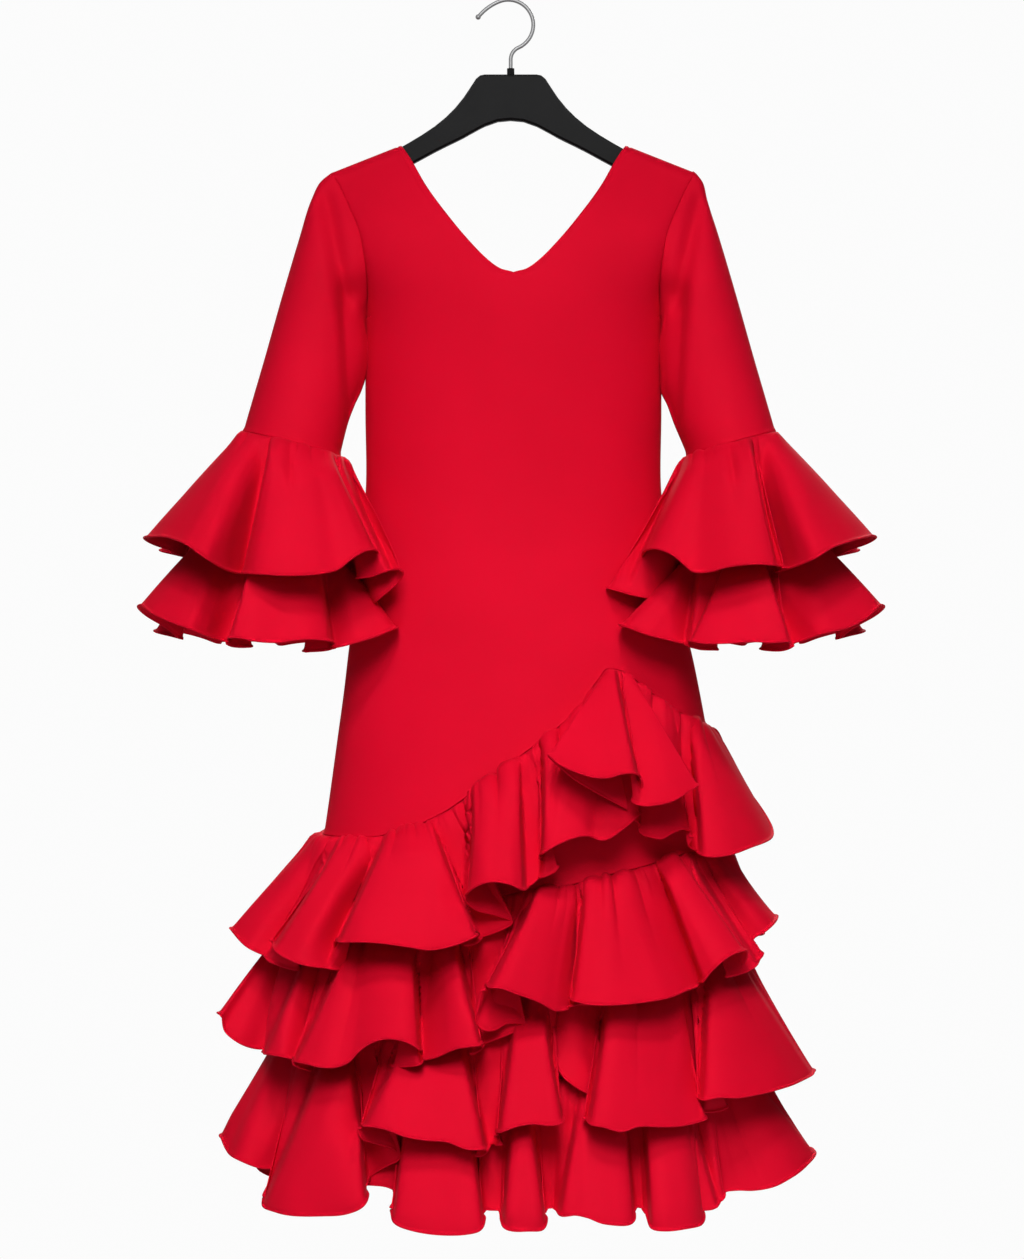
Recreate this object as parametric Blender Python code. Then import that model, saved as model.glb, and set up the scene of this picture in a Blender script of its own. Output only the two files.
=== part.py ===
"""A long flamenco dress with a V neck, flared sleeves and ruffled tiers, hung on a shaped hanger.

Tables are in millimetres and degrees. The origin is the inner top of the hook, where a rail bears.
The front faces -Y. An angle runs round the garment from 0 at the front, through 90 at +X.
Blender's unit is the metre, so every point is scaled by MM as its mesh is made.
"""

import math

import bmesh
import bpy
import numpy as np

MM = 0.001
WALL = 1.2  # the cloth, with its seam allowances
GAP = 0.3  # between one piece and the next
LAYER = WALL + GAP  # from the middle of one cloth to the middle of the cloth that lies on it
SEAM_HALF = LAYER / 2  # the front and the back each stop this far from the plane between them
SEAM_GAP = 0.5  # between the middles of two cloths that meet edge to edge, less their half walls
FACET_GAP = 0.4  # more room where the flat facets of one ring lie over another's

# ---------------------------------------------------------------- sizes of the bodice
MIDDLE = 1.6  # the dress hangs this far to +X of the hook
SHOULDER_TIP = (196.0, -185.0)  # half width and level where the sleeve starts
NECK_POINT = (121.5, -155.5)
UNDERARM = -343.0
RIDGE = 12.0  # the cloth's round over the hanger
ROLL = 130.0  # depth below the shoulder seam at which the bodice has filled out
ARMHOLE_DEPTH = 48.0  # the armhole's half depth

NECKLINE = [  # level, half width of the V at the front, and at the back
    (-155.5, 121.5, 121.5),
    (-172, 111, 112),
    (-206, 92.5, 95),
    (-245, 65, 69),
    (-270, 44, 50),
    (-288, 26, 34),
    (-297, 13, 23),
    (-301, 0, 16),
    (-310, 0, 0),
]
ARMHOLE = [  # level, half width of the bodice at the armhole seam
    (-185, 196),
    (-200, 187),
    (-218, 178.5),
    (-262, 162),
    (-315, 155.5),
    (-343, 158.5),
]
GIRTH = [  # level, then the reach to -X, +X, the front and the back from the body's axis
    (-150, 196, 199, 60, 56),
    (-343, 158, 161, 84, 78),
    (-442, 158, 161, 80, 74),
    (-506, 157, 160, 79, 74),
    (-593, 163, 168, 86, 84),
    (-647, 169, 178, 93, 95),
    (-701, 176, 193, 100, 104),
    (-744, 181, 202, 105, 110),
    (-788, 187, 210, 110, 115),
    (-895, 202, 226, 122, 126),
    (-1000, 220, 236, 136, 138),
    (-1100, 234, 248, 148, 150),
    (-1200, 246, 258, 160, 162),
]

# ---------------------------------------------------------------- sizes of the sleeves
SLEEVE = [  # outer x and level, inner x and level, middle y, half depth; for the sleeve at -X
    (-207, -195.5, -160.8, -354, -1, 50),
    (-216, -214, -160.8, -368, -2, 53),
    (-229, -257, -161, -397, -6, 55),
    (-247, -320, -164, -420, -12, 56),
    (-265, -386, -170, -437, -18, 56),
    (-278, -432, -177, -458, -22, 57),
]
CUFF_GIRTH = [  # level, middle x, middle y, half width, half depth; for the sleeve at -X
    (-450, -230, -24, 54, 57),
    (-478, -236, -25, 54, 58),
    (-530, -248, -27, 54, 59),
    (-585, -259, -29, 55, 60),
    (-640, -264, -30, 56, 61),
    (-700, -268, -30, 56, 62),
]
CUFF_SEAMS = {"upper": (-478.5, 13), "lower": (-570, 9)}  # level of a ruffle's seam, and its rise at the outer side
CUFF_ENDS = [(-478.5, 13), (-530, 11), (-581, 9)]  # the same for the sleeve's last rings
ARMHOLE_GAP = (1.0, 2.6)  # from the bodice's edge to the sleeve's, at the shoulder and the underarm
RIGHT_SLIMMER = 9.0  # the other sleeve is this much narrower, on its outer side
RIGHT_NEARER = 0.6  # and this share of it nearer the body, above the cuff
ARMHOLE_SHARE = 0.7  # share of the armhole's own outline that the sleeve's first ring keeps
ARMHOLE_FADE = 0.35  # and how much of it goes with each ring after that

# ---------------------------------------------------------------- seams of the skirt
SEAM_STEP = 6.0  # the foundation ends this far below the lowest tier's seam
SEAM_A = [  # angle, level
    (-90, -898), (-64, -898), (-50, -897), (-37, -889), (-24, -870), (-12.5, -841), (-1, -810),
    (11, -779), (18, -758), (24.5, -732), (29, -719), (34, -721), (44.5, -743), (58, -765),
    (75, -777), (90, -782), (120, -800), (150, -822), (180, -845), (210, -866), (240, -884),
    (270, -898),
]  # fmt: skip
SEAM_B = [
    (-90, -970), (-62, -986), (-45, -998), (-25, -992), (-12, -964), (0, -950), (11, -945), (22, -935),
    (32, -928), (54, -914), (90, -911), (129, -922), (156, -934), (183, -946), (211, -956),
    (240, -964), (270, -970),
]  # fmt: skip
SEAM_C = [
    (-90, -1104), (-50, -1106), (-25, -1088), (-8, -1060), (4, -1044), (24, -1040), (40, -1028),
    (55, -1012), (85, -1000), (106, -1006), (132, -1023), (158, -1042), (184, -1061),
    (210, -1080), (236, -1094), (270, -1104),
]  # fmt: skip
SEAM_D = [
    (-90, -1188), (-60, -1192), (-35, -1178), (-20, -1156), (0, -1143), (30, -1138), (60, -1128),
    (90, -1122), (130, -1137), (160, -1154), (186, -1168), (212, -1180), (240, -1187),
    (270, -1188),
]  # fmt: skip

# ---------------------------------------------------------------- folds
# Each row is one fold at a ruffle's hem: its crest's angle, reach off the foundation and level,
# how far its rising side curls under, then the angle, reach and level of the hollow after it,
# and how far the side between them curls under.
FOLD = ("at", "out", "level", "lead", "vat", "vout", "vlevel", "trail")
TIER_A = [
    (-86, 84, -1006, 0.8, -64, 32, -1042, 0.5),
    (-53, 72, -1014, 1.5, -46, 34, -1034, 0.5),
    (-25, 80, -1003, 2.2, -13, 34, -985, 1.6),
    (-3.5, 82, -938, 3.4, 3, 34, -928, 0.6),
    (14, 60, -897, 2.0, 28, 30, -868, 0.6),
    (35, 54, -897, 1.5, 41, 30, -906, 0.8),
    (50, 76, -912, 0.8, 94, 36, -862, 0.4),
    (114, 56, -898, 0.4, 124, 34, -932, 0.4),
    (135, 76, -942, 0.7, 147, 34, -962, 0.6),
    (158, 70, -962, 0.9, 171, 34, -980, 0.4),
    (184, 78, -982, 0.6, 198, 34, -999, 0.8),
    (212, 72, -1001, 0.8, 226, 34, -1018, 0.5),
    (241, 78, -1016, 0.6, 257, 32, -1032, 0.4),
]
TIER_B = [
    (-86, 85, -1104, 0.6, -64, 30, -1136, 0.4),
    (-55, 70, -1126, 1.0, -49, 34, -1132, 0.6),
    (-28.5, 84, -1098, 1.4, -18.5, 36, -1122, 3.2),
    (-13.5, 74, -1112, 0.6, -8, 34, -1080, 0.8),
    (4, 84, -1052, 3.2, 11, 34, -1070, 0.6),
    (24, 86, -1060, 1.2, 40, 34, -1048, 0.8),
    (49, 80, -1014, 0.6, 58, 30, -1038, 2.4),
    (64, 60, -1029, 0.4, 71, 34, -1026, 0.3),
    (82, 52, -984, 0.5, 99, 26, -996, 0.4),
    (118, 58, -1018, 0.5, 128, 34, -1036, 0.5),
    (139, 74, -1040, 0.7, 150, 34, -1054, 0.5),
    (161, 72, -1060, 0.6, 173, 34, -1074, 0.7),
    (185, 78, -1080, 0.8, 199, 34, -1094, 0.4),
    (212, 72, -1098, 0.5, 226, 34, -1112, 0.6),
    (241, 76, -1112, 0.7, 258, 32, -1126, 0.4),
]
TIER_C = [
    (-86, 69, -1233, 0.5, -61, 40, -1262, 0.4),
    (-48, 84, -1274, 0.9, -41, 78, -1284, 0.3),
    (-34, 86, -1278, 0.3, -29, 38, -1228, 0.9),
    (-17, 80, -1196, 2.0, -5, 34, -1198, 0.8),
    (2.5, 70, -1181, 0.6, 9, 30, -1140, 1.0),
    (25, 82, -1184, 1.0, 37, 34, -1172, 0.8),
    (52, 84, -1160, 0.8, 68, 44, -1166, 0.3),
    (80, 72, -1157, 0.4, 97, 30, -1164, 0.4),
    (114, 62, -1150, 0.5, 125, 34, -1166, 0.5),
    (137, 76, -1162, 0.7, 149, 34, -1178, 0.6),
    (161, 70, -1178, 0.5, 174, 34, -1194, 0.5),
    (188, 78, -1196, 0.8, 201, 34, -1212, 0.4),
    (214, 72, -1212, 0.6, 227, 34, -1228, 0.6),
    (241, 74, -1226, 0.7, 258, 34, -1244, 0.4),
]
TIER_D = [
    (-80, 34, -1244, 0.0, -66, 20, -1246, 0.0),
    (-54, 38, -1252, 0.0, -28, 26, -1253, 0.3),
    (-15.5, 86, -1288, 0.9, -5.5, 30, -1277, 1.2),
    (1.3, 80, -1286, 1.6, 7, 36, -1269, 1.6),
    (10, 56, -1272, 0.4, 12.5, 46, -1270, 0.2),
    (18, 74, -1280, 0.8, 23.7, 32, -1268, 1.4),
    (31, 84, -1290, 1.4, 39, 36, -1268, 1.2),
    (43.5, 56, -1270, 0.3, 48, 36, -1262, 0.4),
    (68, 80, -1258, 0.6, 92, 34, -1240, 0.3),
    (106, 56, -1244, 0.4, 118, 34, -1254, 0.4),
    (131, 72, -1256, 0.6, 143, 34, -1262, 0.5),
    (156, 68, -1262, 0.5, 169, 34, -1268, 0.4),
    (182, 74, -1266, 0.7, 195, 34, -1272, 0.5),
    (208, 60, -1268, 0.5, 222, 32, -1270, 0.4),
    (236, 44, -1258, 0.3, 252, 26, -1256, 0.2),
]
# The sleeve ruffles' tables are for the sleeve at -X, and 90 degrees is beside the body.
LEFT_UPPER = [
    (-78, 80, -581, 0.8, -31, 45, -612, 0.3),
    (30, 90, -614, 0.9, 61, 42, -624, 2.0),
    (70, 98, -619, 0.5, 84, 30, -640, 0.3),
    (104, 34, -640, 0.0, 122, 28, -640, 0.0),
    (150, 72, -620, 0.5, 170, 34, -626, 0.3),
    (192, 84, -608, 0.5, 214, 34, -612, 0.3),
    (238, 84, -592, 0.5, 258, 38, -600, 0.4),
]
LEFT_LOWER = [
    (-80, 74, -656, 0.5, -42, 34, -688, 0.2),
    (13, 78, -695, 0.8, 54, 34, -699, 0.8),
    (66, 98, -683, 0.5, 82, 30, -692, 0.3),
    (104, 30, -692, 0.0, 122, 24, -692, 0.0),
    (150, 66, -692, 0.3, 170, 30, -696, 0.2),
    (194, 78, -692, 0.5, 216, 32, -694, 0.3),
    (240, 80, -680, 0.5, 260, 34, -688, 0.3),
]
RIGHT_UPPER = [
    (-80, 81, -581, 0.8, -24, 45, -614, 0.3),
    (26, 90, -615, 1.6, 53, 42, -634, 2.0),
    (64, 119, -638, 0.5, 77, 26, -648, 0.3),
    (102, 26, -646, 0.0, 122, 26, -642, 0.0),
    (150, 72, -622, 0.5, 170, 34, -626, 0.3),
    (192, 84, -608, 0.5, 214, 34, -612, 0.3),
    (238, 84, -592, 0.5, 258, 38, -600, 0.4),
]
RIGHT_LOWER = [
    (-80, 84, -657, 0.5, -40, 34, -690, 0.2),
    (3, 78, -695, 0.8, 50, 34, -698, 0.8),
    (62, 106, -682, 0.6, 75, 22, -692, 0.3),
    (102, 18, -692, 0.0, 122, 20, -692, 0.0),
    (150, 66, -692, 0.3, 170, 30, -696, 0.2),
    (194, 78, -692, 0.5, 216, 32, -694, 0.3),
    (240, 80, -680, 0.5, 260, 34, -688, 0.3),
]
# The flounce doubles back where the last column is 0, and has a crest or a hollow at 1 or -1.
FLOUNCE = [  # root angle and reach, then angle, reach and level at the hem, and the kind of place
    (24.8, 3.8, 25, 54, -862, 0),
    (26.5, 7, 5.5, 76, -808, 0),
    (28.5, 9, 14, 100, -830, 1),
    (30.5, 9.2, 23, 94, -824, 0),
    (32.3, 8.5, 25.5, 70, -852, -1),
    (34.8, 7, 31, 98, -857, 1),
    (38, 4.5, 38.5, 84, -840, 1),
]
BROAD = 0.2  # share of a fold's width that its crest takes from the hollow beside it
LEAN_SKIRT = 9.0  # degrees by which a fold's root is turned aside from its hem
LEAN_CUFF = 5.0
SPREAD_SKIRT = 0.85  # under 1, a ruffle stands out sooner below its seam
SPREAD_CUFF = 0.97

# ---------------------------------------------------------------- the hanger
HANGER_MIDDLE = -1.4
HANGER_HALF = 6.0
HANGER_BEVEL = 2.5
HANGER = [  # distance from its middle, upper level, lower level
    (0, -78.8, -128.2),
    (14, -78.8, -129.5),
    (28, -78.8, -134.5),
    (33, -79.8, -137),
    (37.5, -83.5, -139.5),
    (44, -93.5, -143),
    (51, -104, -147),
    (60, -115, -151.5),
    (70, -125, -156.3),
    (82, -134.8, -162.4),
    (96, -144.2, -170),
    (110, -152.6, -177.6),
    (122, -159.4, -184),
    (150, -170.2, -195.5),
    (176, -180.6, -203),
    (185, -184.2, -203.5),
    (188.5, -188.5, -201),
]
COLLAR = (2.4, 4.0, 6.6)  # bore radius, radius, height
WIRE = 2.1
HOOK_MIDDLE = (-4.0, -24.6)
HOOK_RADIUS = 27.0
HOOK_LAST = 112.0  # where the round ends, in degrees from +X towards +Z
HOOK_BEND = 14.0  # radius of the bend from the shank into the round
HOOK_TAIL = (26.0, 55.0)  # length and radius of the open end
HOOK_BALL = 2.9
HOOK_BALL_SHAPE = [(0.5, 0.95), (1.0, 1.0), (1.6, 0.75), (1.9, 0.35)]  # reach and radius, in ball radii
HOOK_SIDES = 8
HOOK_STEPS = (6, 14, 4)  # points along the bend, the round and the open end
COLLAR_SIDES = 12

# ---------------------------------------------------------------- finishes: colour, roughness, metallic
CLOTH = ((0.72, 0.004, 0.022), 0.72)
HANGER_FINISH = ((0.018, 0.018, 0.019), 0.45)
HOOK_FINISH = ((0.55, 0.55, 0.56), 0.3, 1.0)

# ---------------------------------------------------------------- how finely the cloth is cut
HALF_WAVE = 4  # columns from a crest to a hollow
RUFFLE_ROWS = (0, 0.3, 0.65, 1)
TIER_ROWS = (0, 0.2, 0.6, 1)
FLOUNCE_ROWS = (0, 0.15, 0.4, 0.7, 1)
SIDE_ANGLES = (90, 83, 74, 64, 54, 44, 36, 29, 20, 10, 0)  # columns of a half front or back
YOKE_ROWS = (0, 0.01, 0.03, 0.07, 0.16, 0.34, 0.56, 0.76, 0.91, 0.975, 1)  # shoulder to underarm
LOWER_ROWS = (0.15, 0.32, 0.5, 0.66, 0.82, 1)  # underarm to the first tier's seam
FOUNDATION_ROWS = (0, 0.2, 0.4, 0.6, 0.8, 1)


# ---------------------------------------------------------------- curves and surfaces
def smooth(rows, column, level):
    """A table's column at each level, by a curve that never overshoots its rows."""
    rows = sorted(rows)
    xs = np.array([row[0] for row in rows], float)
    ys = np.array([row[column] for row in rows], float)
    step = np.diff(xs)
    slope = np.diff(ys) / step
    bend = np.zeros(len(xs))
    bend[0], bend[-1] = slope[0], slope[-1]
    for i in range(1, len(xs) - 1):
        if slope[i - 1] * slope[i] > 0:
            bend[i] = 2 * slope[i - 1] * slope[i] / (slope[i - 1] + slope[i])
    level = np.clip(np.asarray(level, float), xs[0], xs[-1])
    i = np.clip(np.searchsorted(xs, level, side="right") - 1, 0, len(step) - 1)
    t = (level - xs[i]) / step[i]
    start = (1 + 2 * t) * (1 - t) ** 2 * ys[i] + t * (1 - t) ** 2 * step[i] * bend[i]
    end = t * t * (3 - 2 * t) * ys[i + 1] - t * t * (1 - t) * step[i] * bend[i + 1]
    return start + end


def mix(a, b, share):
    return a + (b - a) * share


def seam_level(seam, at):
    return smooth(seam, 1, (np.asarray(at, float) + 90) % 360 - 90)


def skirt_point(at, out, level):
    """A point out from the foundation's cloth, at an angle and a level."""
    left, right, front, back = (smooth(GIRTH, column, level) for column in (1, 2, 3, 4))
    turn = np.radians(at)
    half, shift = (left + right) / 2, (right - left) / 2
    deep = np.where(np.cos(turn) > 0, front, back)
    return np.stack(
        [shift + (half + out) * np.sin(turn), -(deep + out) * np.cos(turn), level + 0 * half], -1
    )


def cuff_point(at, out, level, slimmer=0):
    """The same round the sleeve at -X."""
    middle, forward, half, deep = (smooth(CUFF_GIRTH, column, level) for column in (1, 2, 3, 4))
    middle, half = middle + slimmer / 2, half - slimmer / 2
    turn = np.radians(at)
    return np.stack(
        [
            middle + (half + out) * np.sin(turn),
            forward - (deep + out) * np.cos(turn),
            level + 0 * half,
        ],
        -1,
    )


def mirrored(points):
    return points * (-1, 1, 1) + (2 * MIDDLE, 0, 0)


SIDES = (("left", np.array, 0), ("right", mirrored, RIGHT_SLIMMER))


# ---------------------------------------------------------------- ruffles
def fold_track(folds, lean, lift):
    """The crests and hollows in turn: angle, reach, level, curl after it, crest or hollow, root angle, root reach."""
    track = []
    for row in folds:
        fold = dict(zip(FOLD, row))
        track.append([fold["at"], fold["out"], fold["level"], fold["trail"], 1])
        track.append([fold["vat"], fold["vout"], fold["vlevel"], 0, -1])
    for i, row in enumerate(folds):
        track[2 * i - 1][3] = row[FOLD.index("lead")]
    track.append([track[0][0] + 360, *track[0][1:]])
    return [(*turn, turn[0] + lean * math.sin(2 * math.radians(turn[0])), lift) for turn in track]


def eased(t, start, end):
    """From 0 to 1 as t is, with these slopes at its two ends."""
    return t * (1 - t) ** 2 * start + t * t * (3 - 2 * t) - t * t * (1 - t) * end


def hem_line(track, closed):
    """Columns along a ruffle: angle, curl's offset, reach and level at the hem, then root angle and root reach."""
    found = []
    for start, end in zip(track[:-1], track[1:]):
        turned = [node[4] == 0 for node in (start, end)]  # the hem doubles back there, so its angle is eased
        for t in np.arange(HALF_WAVE) / HALF_WAVE:
            along = eased(t, *[0 if back else 1 for back in turned])
            ease = eased(t, *turned)
            width = end[0] - start[0]
            curl = start[3] * math.sin(2 * math.pi * t) / (2 * math.pi)
            curl += 0 if any(turned) else start[4] * BROAD * math.sin(math.pi * t)
            reach, level = (mix(start[i], end[i], ease) for i in (1, 2))
            root, lift = (mix(start[i], end[i], t) for i in (5, 6))
            found.append((start[0] + width * along, width * curl, reach, level, root, lift))
    if not closed:
        last = track[-1]
        found.append((last[0], 0, last[1], last[2], last[5], last[6]))
    return np.array(found)


def ruffle(track, surface, seam, rows, spread, closed=True):
    """Rows of points from a ruffle's seam to its hem."""
    at, curl, out, level, root, lift = hem_line(track, closed).T
    top = seam(root)
    grid = []
    for v in rows:
        angle = mix(root, at, v**0.9) + curl * v**1.6
        grid.append(surface(angle, mix(lift, out, v**spread), mix(top, level, v)))
    return np.stack(grid)


# ---------------------------------------------------------------- the bodice
def armhole_depth(level):
    share = np.clip((level - SHOULDER_TIP[1]) / (UNDERARM - SHOULDER_TIP[1]), 0, 1)
    return ARMHOLE_DEPTH * np.sin(math.pi * share) ** 0.75


def shoulder_level(x):
    rise = (NECK_POINT[1] - SHOULDER_TIP[1]) / (SHOULDER_TIP[0] - NECK_POINT[0])
    return NECK_POINT[1] - (np.abs(x - MIDDLE) - NECK_POINT[0]) * rise


def bodice_depth(x, level, side):
    """How far the bodice stands off the plane of the shoulder seams. The side is 3 for the front, 4 for the back."""
    left, right = smooth(GIRTH, 1, level), smooth(GIRTH, 2, level)
    half, shift = (left + right) / 2, (right - left) / 2
    on_arm = level >= UNDERARM
    half = np.where(on_arm, smooth(ARMHOLE, 1, level), half)
    shift = np.where(on_arm, MIDDLE, shift)
    edge = np.where(on_arm, armhole_depth(level), 0)
    across = np.clip(np.abs(x - shift) / half, 0, 1)
    full = edge + (smooth(GIRTH, side, level) - edge) * np.sqrt(1 - across**2)
    below = np.clip(shoulder_level(x) - level, 0, None)
    ridge = RIDGE * np.sqrt(1 - (1 - np.clip(below / RIDGE, 0, 1)) ** 2)
    filled = np.clip(below / ROLL, 0, 1)
    filled = filled * (2 - filled)
    return np.where(below < ROLL, ridge + np.clip(full - RIDGE, 0, None) * filled, full)


def bodice_half(hand, side):
    """One half of the front or back, from the shoulder seam to the first tier's seam."""
    neck = 1 if side == 3 else 2
    shares = np.sin(np.radians(SIDE_ANGLES))
    grid = []
    for row in YOKE_ROWS:
        outer = mix(SHOULDER_TIP[1], UNDERARM, row)
        inner = mix(NECK_POINT[1], NECKLINE[-1 if side == 4 else -2][0], row)
        outer_x = smooth(ARMHOLE, 1, outer)
        inner_x = smooth(NECKLINE, neck, inner)
        x = MIDDLE + hand * mix(inner_x, outer_x, shares)
        grid.append((x, mix(inner, outer, shares)))
    top_x, top_level = grid[-1]
    angles = hand * np.array(SIDE_ANGLES, float)
    if side == 4:
        angles = 180 - angles
    last = skirt_point(angles, 0, seam_level(SEAM_A, angles))
    for row in LOWER_ROWS:
        level = mix(top_level, last[:, 2], row)
        left, right = smooth(GIRTH, 1, level), smooth(GIRTH, 2, level)
        centre = (right - left) / 2
        x = np.where(
            row == 1, last[:, 0], centre + hand * (left + right) / 2 * shares
        )
        grid.append((x, level))
    facing = -1 if side == 3 else 1
    points = []
    for x, level in grid:
        depth = np.maximum(bodice_depth(x, level, side), SEAM_HALF)
        points.append(np.stack([x, facing * depth, level], -1))
    return np.stack(points)


def sleeve_rings(slimmer):
    """Rings of the sleeve at -X, from the armhole seam to the lower ruffle's seam, on the bodice's own rows."""
    along = np.array(YOKE_ROWS + YOKE_ROWS[-2:0:-1], float)
    turns = np.arccos(1 - 2 * along)
    facing = np.where(np.arange(len(along)) < len(YOKE_ROWS), -1, 1)
    level = mix(SHOULDER_TIP[1], UNDERARM, along)
    x = MIDDLE - smooth(ARMHOLE, 1, level)
    depth = np.where(facing < 0, bodice_depth(x, level, 3), bodice_depth(x, level, 4))
    armhole = np.stack([x - mix(*ARMHOLE_GAP, along**3), facing * depth, level], -1)
    across = facing * np.sin(turns)
    oval = mix(armhole[0], armhole[len(YOKE_ROWS) - 1], along[:, None])
    oval[:, 1] += across * ARMHOLE_DEPTH
    rings = [armhole]
    for i, (outer_x, outer, inner_x, inner, middle, deep) in enumerate(SLEEVE):
        trimmed = outer_x + slimmer * min(1, (i + 1) / 2)
        nearer = inner_x + RIGHT_NEARER * slimmer * np.clip(i - 2, 0, 1)
        ring = np.stack(
            [mix(trimmed, nearer, along), middle + deep * across, mix(outer, inner, along)], -1
        )
        rings.append(ring + (armhole - oval) * max(0.0, ARMHOLE_SHARE - ARMHOLE_FADE * i))
    at = np.degrees(-facing * turns) - 90
    for seam, rise in CUFF_ENDS:
        rings.append(cuff_point(at, 0, seam - rise * np.sin(np.radians(at)), slimmer))
    return np.stack(rings)


# ---------------------------------------------------------------- meshes
def material(name, colour, roughness, metallic=0.0):
    made = bpy.data.materials.new(name)
    made.use_nodes = True
    shader = made.node_tree.nodes["Principled BSDF"]
    shader.inputs["Base Color"].default_value = (*colour, 1)
    shader.inputs["Roughness"].default_value = roughness
    shader.inputs["Metallic"].default_value = metallic
    return made


def add_object(name, mesh_data, look):
    made = bpy.data.objects.new(name, mesh_data)
    bpy.context.scene.collection.objects.link(made)
    made.data.materials.append(material(name, *look))
    made.data.shade_smooth()
    return made


def mesh_of(name, grids, closed, capped=False):
    """Faces between the rows of one or more grids of points, which are welded where they meet."""
    mesh = bmesh.new()
    for grid in grids:
        corners = [[mesh.verts.new(point * MM) for point in row] for row in grid]
        columns = len(corners[0])
        for upper, lower in zip(corners[:-1], corners[1:]):
            for i in range(columns if closed else columns - 1):
                j = (i + 1) % columns
                mesh.faces.new((upper[i], lower[i], lower[j], upper[j]))
        if capped:
            mesh.faces.new(corners[0])
            mesh.faces.new(corners[-1])
    bmesh.ops.remove_doubles(mesh, verts=mesh.verts, dist=0.001 * MM)
    bmesh.ops.recalc_face_normals(mesh, faces=mesh.faces)
    data = bpy.data.meshes.new(name)
    mesh.to_mesh(data)
    mesh.free()
    return data


def cloth(name, grids, closed):
    """A wall of cloth on its grids of points."""
    made = add_object(name, mesh_of(name, grids, closed), CLOTH)
    wall = made.modifiers.new("Wall", "SOLIDIFY")
    wall.thickness = WALL * MM
    wall.offset = 0
    return made


# ---------------------------------------------------------------- the dress
def build_bodice():
    for name, side in (("front", 3), ("back", 4)):
        halves = [bodice_half(hand, side) for hand in (-1, 1)]
        cloth(name, halves, closed=False)


def build_foundation():
    angles = np.array([-a for a in SIDE_ANGLES] + list(SIDE_ANGLES[-2::-1]), float)
    for name, turned, facing in (("skirt_front", angles, -1), ("skirt_back", 180 - angles, 1)):
        top = seam_level(SEAM_A, turned) - SEAM_GAP
        bottom = seam_level(SEAM_D, turned) - SEAM_STEP
        grid = np.stack([skirt_point(turned, 0, mix(top, bottom, v)) for v in FOUNDATION_ROWS])
        grid[..., 1] = facing * np.maximum(facing * grid[..., 1], SEAM_HALF)
        cloth(name, [grid], closed=False)


def build_tiers():
    tiers = (
        ("tier_a", TIER_A, SEAM_A),
        ("tier_b", TIER_B, SEAM_B),
        ("tier_c", TIER_C, SEAM_C),
        ("tier_d", TIER_D, SEAM_D),
    )
    for name, folds, seam in tiers:
        track = fold_track(folds, LEAN_SKIRT, LAYER + FACET_GAP)
        edge = lambda at: seam_level(seam, at) - SEAM_GAP
        grid = ruffle(track, skirt_point, edge, TIER_ROWS, SPREAD_SKIRT)
        cloth(name, [grid], closed=True)


def build_flounce():
    track = [(at, out, level, 0, kind, root, lift) for root, lift, at, out, level, kind in FLOUNCE]
    seam = lambda at: seam_level(SEAM_A, at) - SEAM_GAP
    grid = ruffle(track, skirt_point, seam, FLOUNCE_ROWS, SPREAD_SKIRT, closed=False)
    cloth("apex_flounce", [grid], closed=False)


def build_sleeves():
    for side, place, slimmer in SIDES:
        cloth(f"sleeve_{side}", [place(sleeve_rings(slimmer))], closed=True)


def build_sleeve_ruffles():
    tables = {
        ("left", "upper"): LEFT_UPPER,
        ("left", "lower"): LEFT_LOWER,
        ("right", "upper"): RIGHT_UPPER,
        ("right", "lower"): RIGHT_LOWER,
    }
    for side, place, slimmer in SIDES:
        for row, (level, rise) in CUFF_SEAMS.items():
            track = fold_track(tables[side, row], LEAN_CUFF, LAYER + 2 * FACET_GAP)
            grid = ruffle(
                track,
                lambda at, out, height: cuff_point(at, out, height, slimmer),
                lambda at: level - rise * np.sin(np.radians(at)),
                RUFFLE_ROWS,
                SPREAD_CUFF,
            )
            cloth(f"ruffle_{side}_{row}", [place(grid)], closed=True)


# ---------------------------------------------------------------- the hanger
def build_hanger():
    half, edge = HANGER_HALF, HANGER_HALF - HANGER_BEVEL
    rings = []
    for hand, rows in ((-1, HANGER[:0:-1]), (1, HANGER)):
        for distance, upper, lower in rows:
            x = HANGER_MIDDLE + hand * distance
            section = (
                (edge, upper),
                (half, upper - HANGER_BEVEL),
                (half, lower + HANGER_BEVEL),
                (edge, lower),
            )
            ring = [(x, y, level) for y, level in section]
            ring += [(x, -y, level) for y, level in reversed(section)]
            rings.append(ring)
    data = mesh_of("hanger", [np.array(rings)], closed=True, capped=True)
    add_object("hanger", data, HANGER_FINISH)


def tube(centres, radii, sides):
    """Rings of a round wire that keeps to the plane of the hanger."""
    centres = np.array(centres, float)
    along = np.gradient(centres, axis=0)
    along /= np.linalg.norm(along, axis=1)[:, None]
    turns = np.radians(np.arange(sides) * 360 / sides)
    rings = []
    for (x, level), (run, climb), radius in zip(centres, along, radii):
        aside = radius * np.cos(turns)
        rings.append(
            np.stack([x - climb * aside, radius * np.sin(turns), level + run * aside], -1)
        )
    return np.stack(rings)


def arc(middle, radius, first, last, count):
    turns = np.radians(np.linspace(first, last, count))
    return [(middle[0] + radius * math.cos(a), middle[1] + radius * math.sin(a)) for a in turns]


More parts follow.
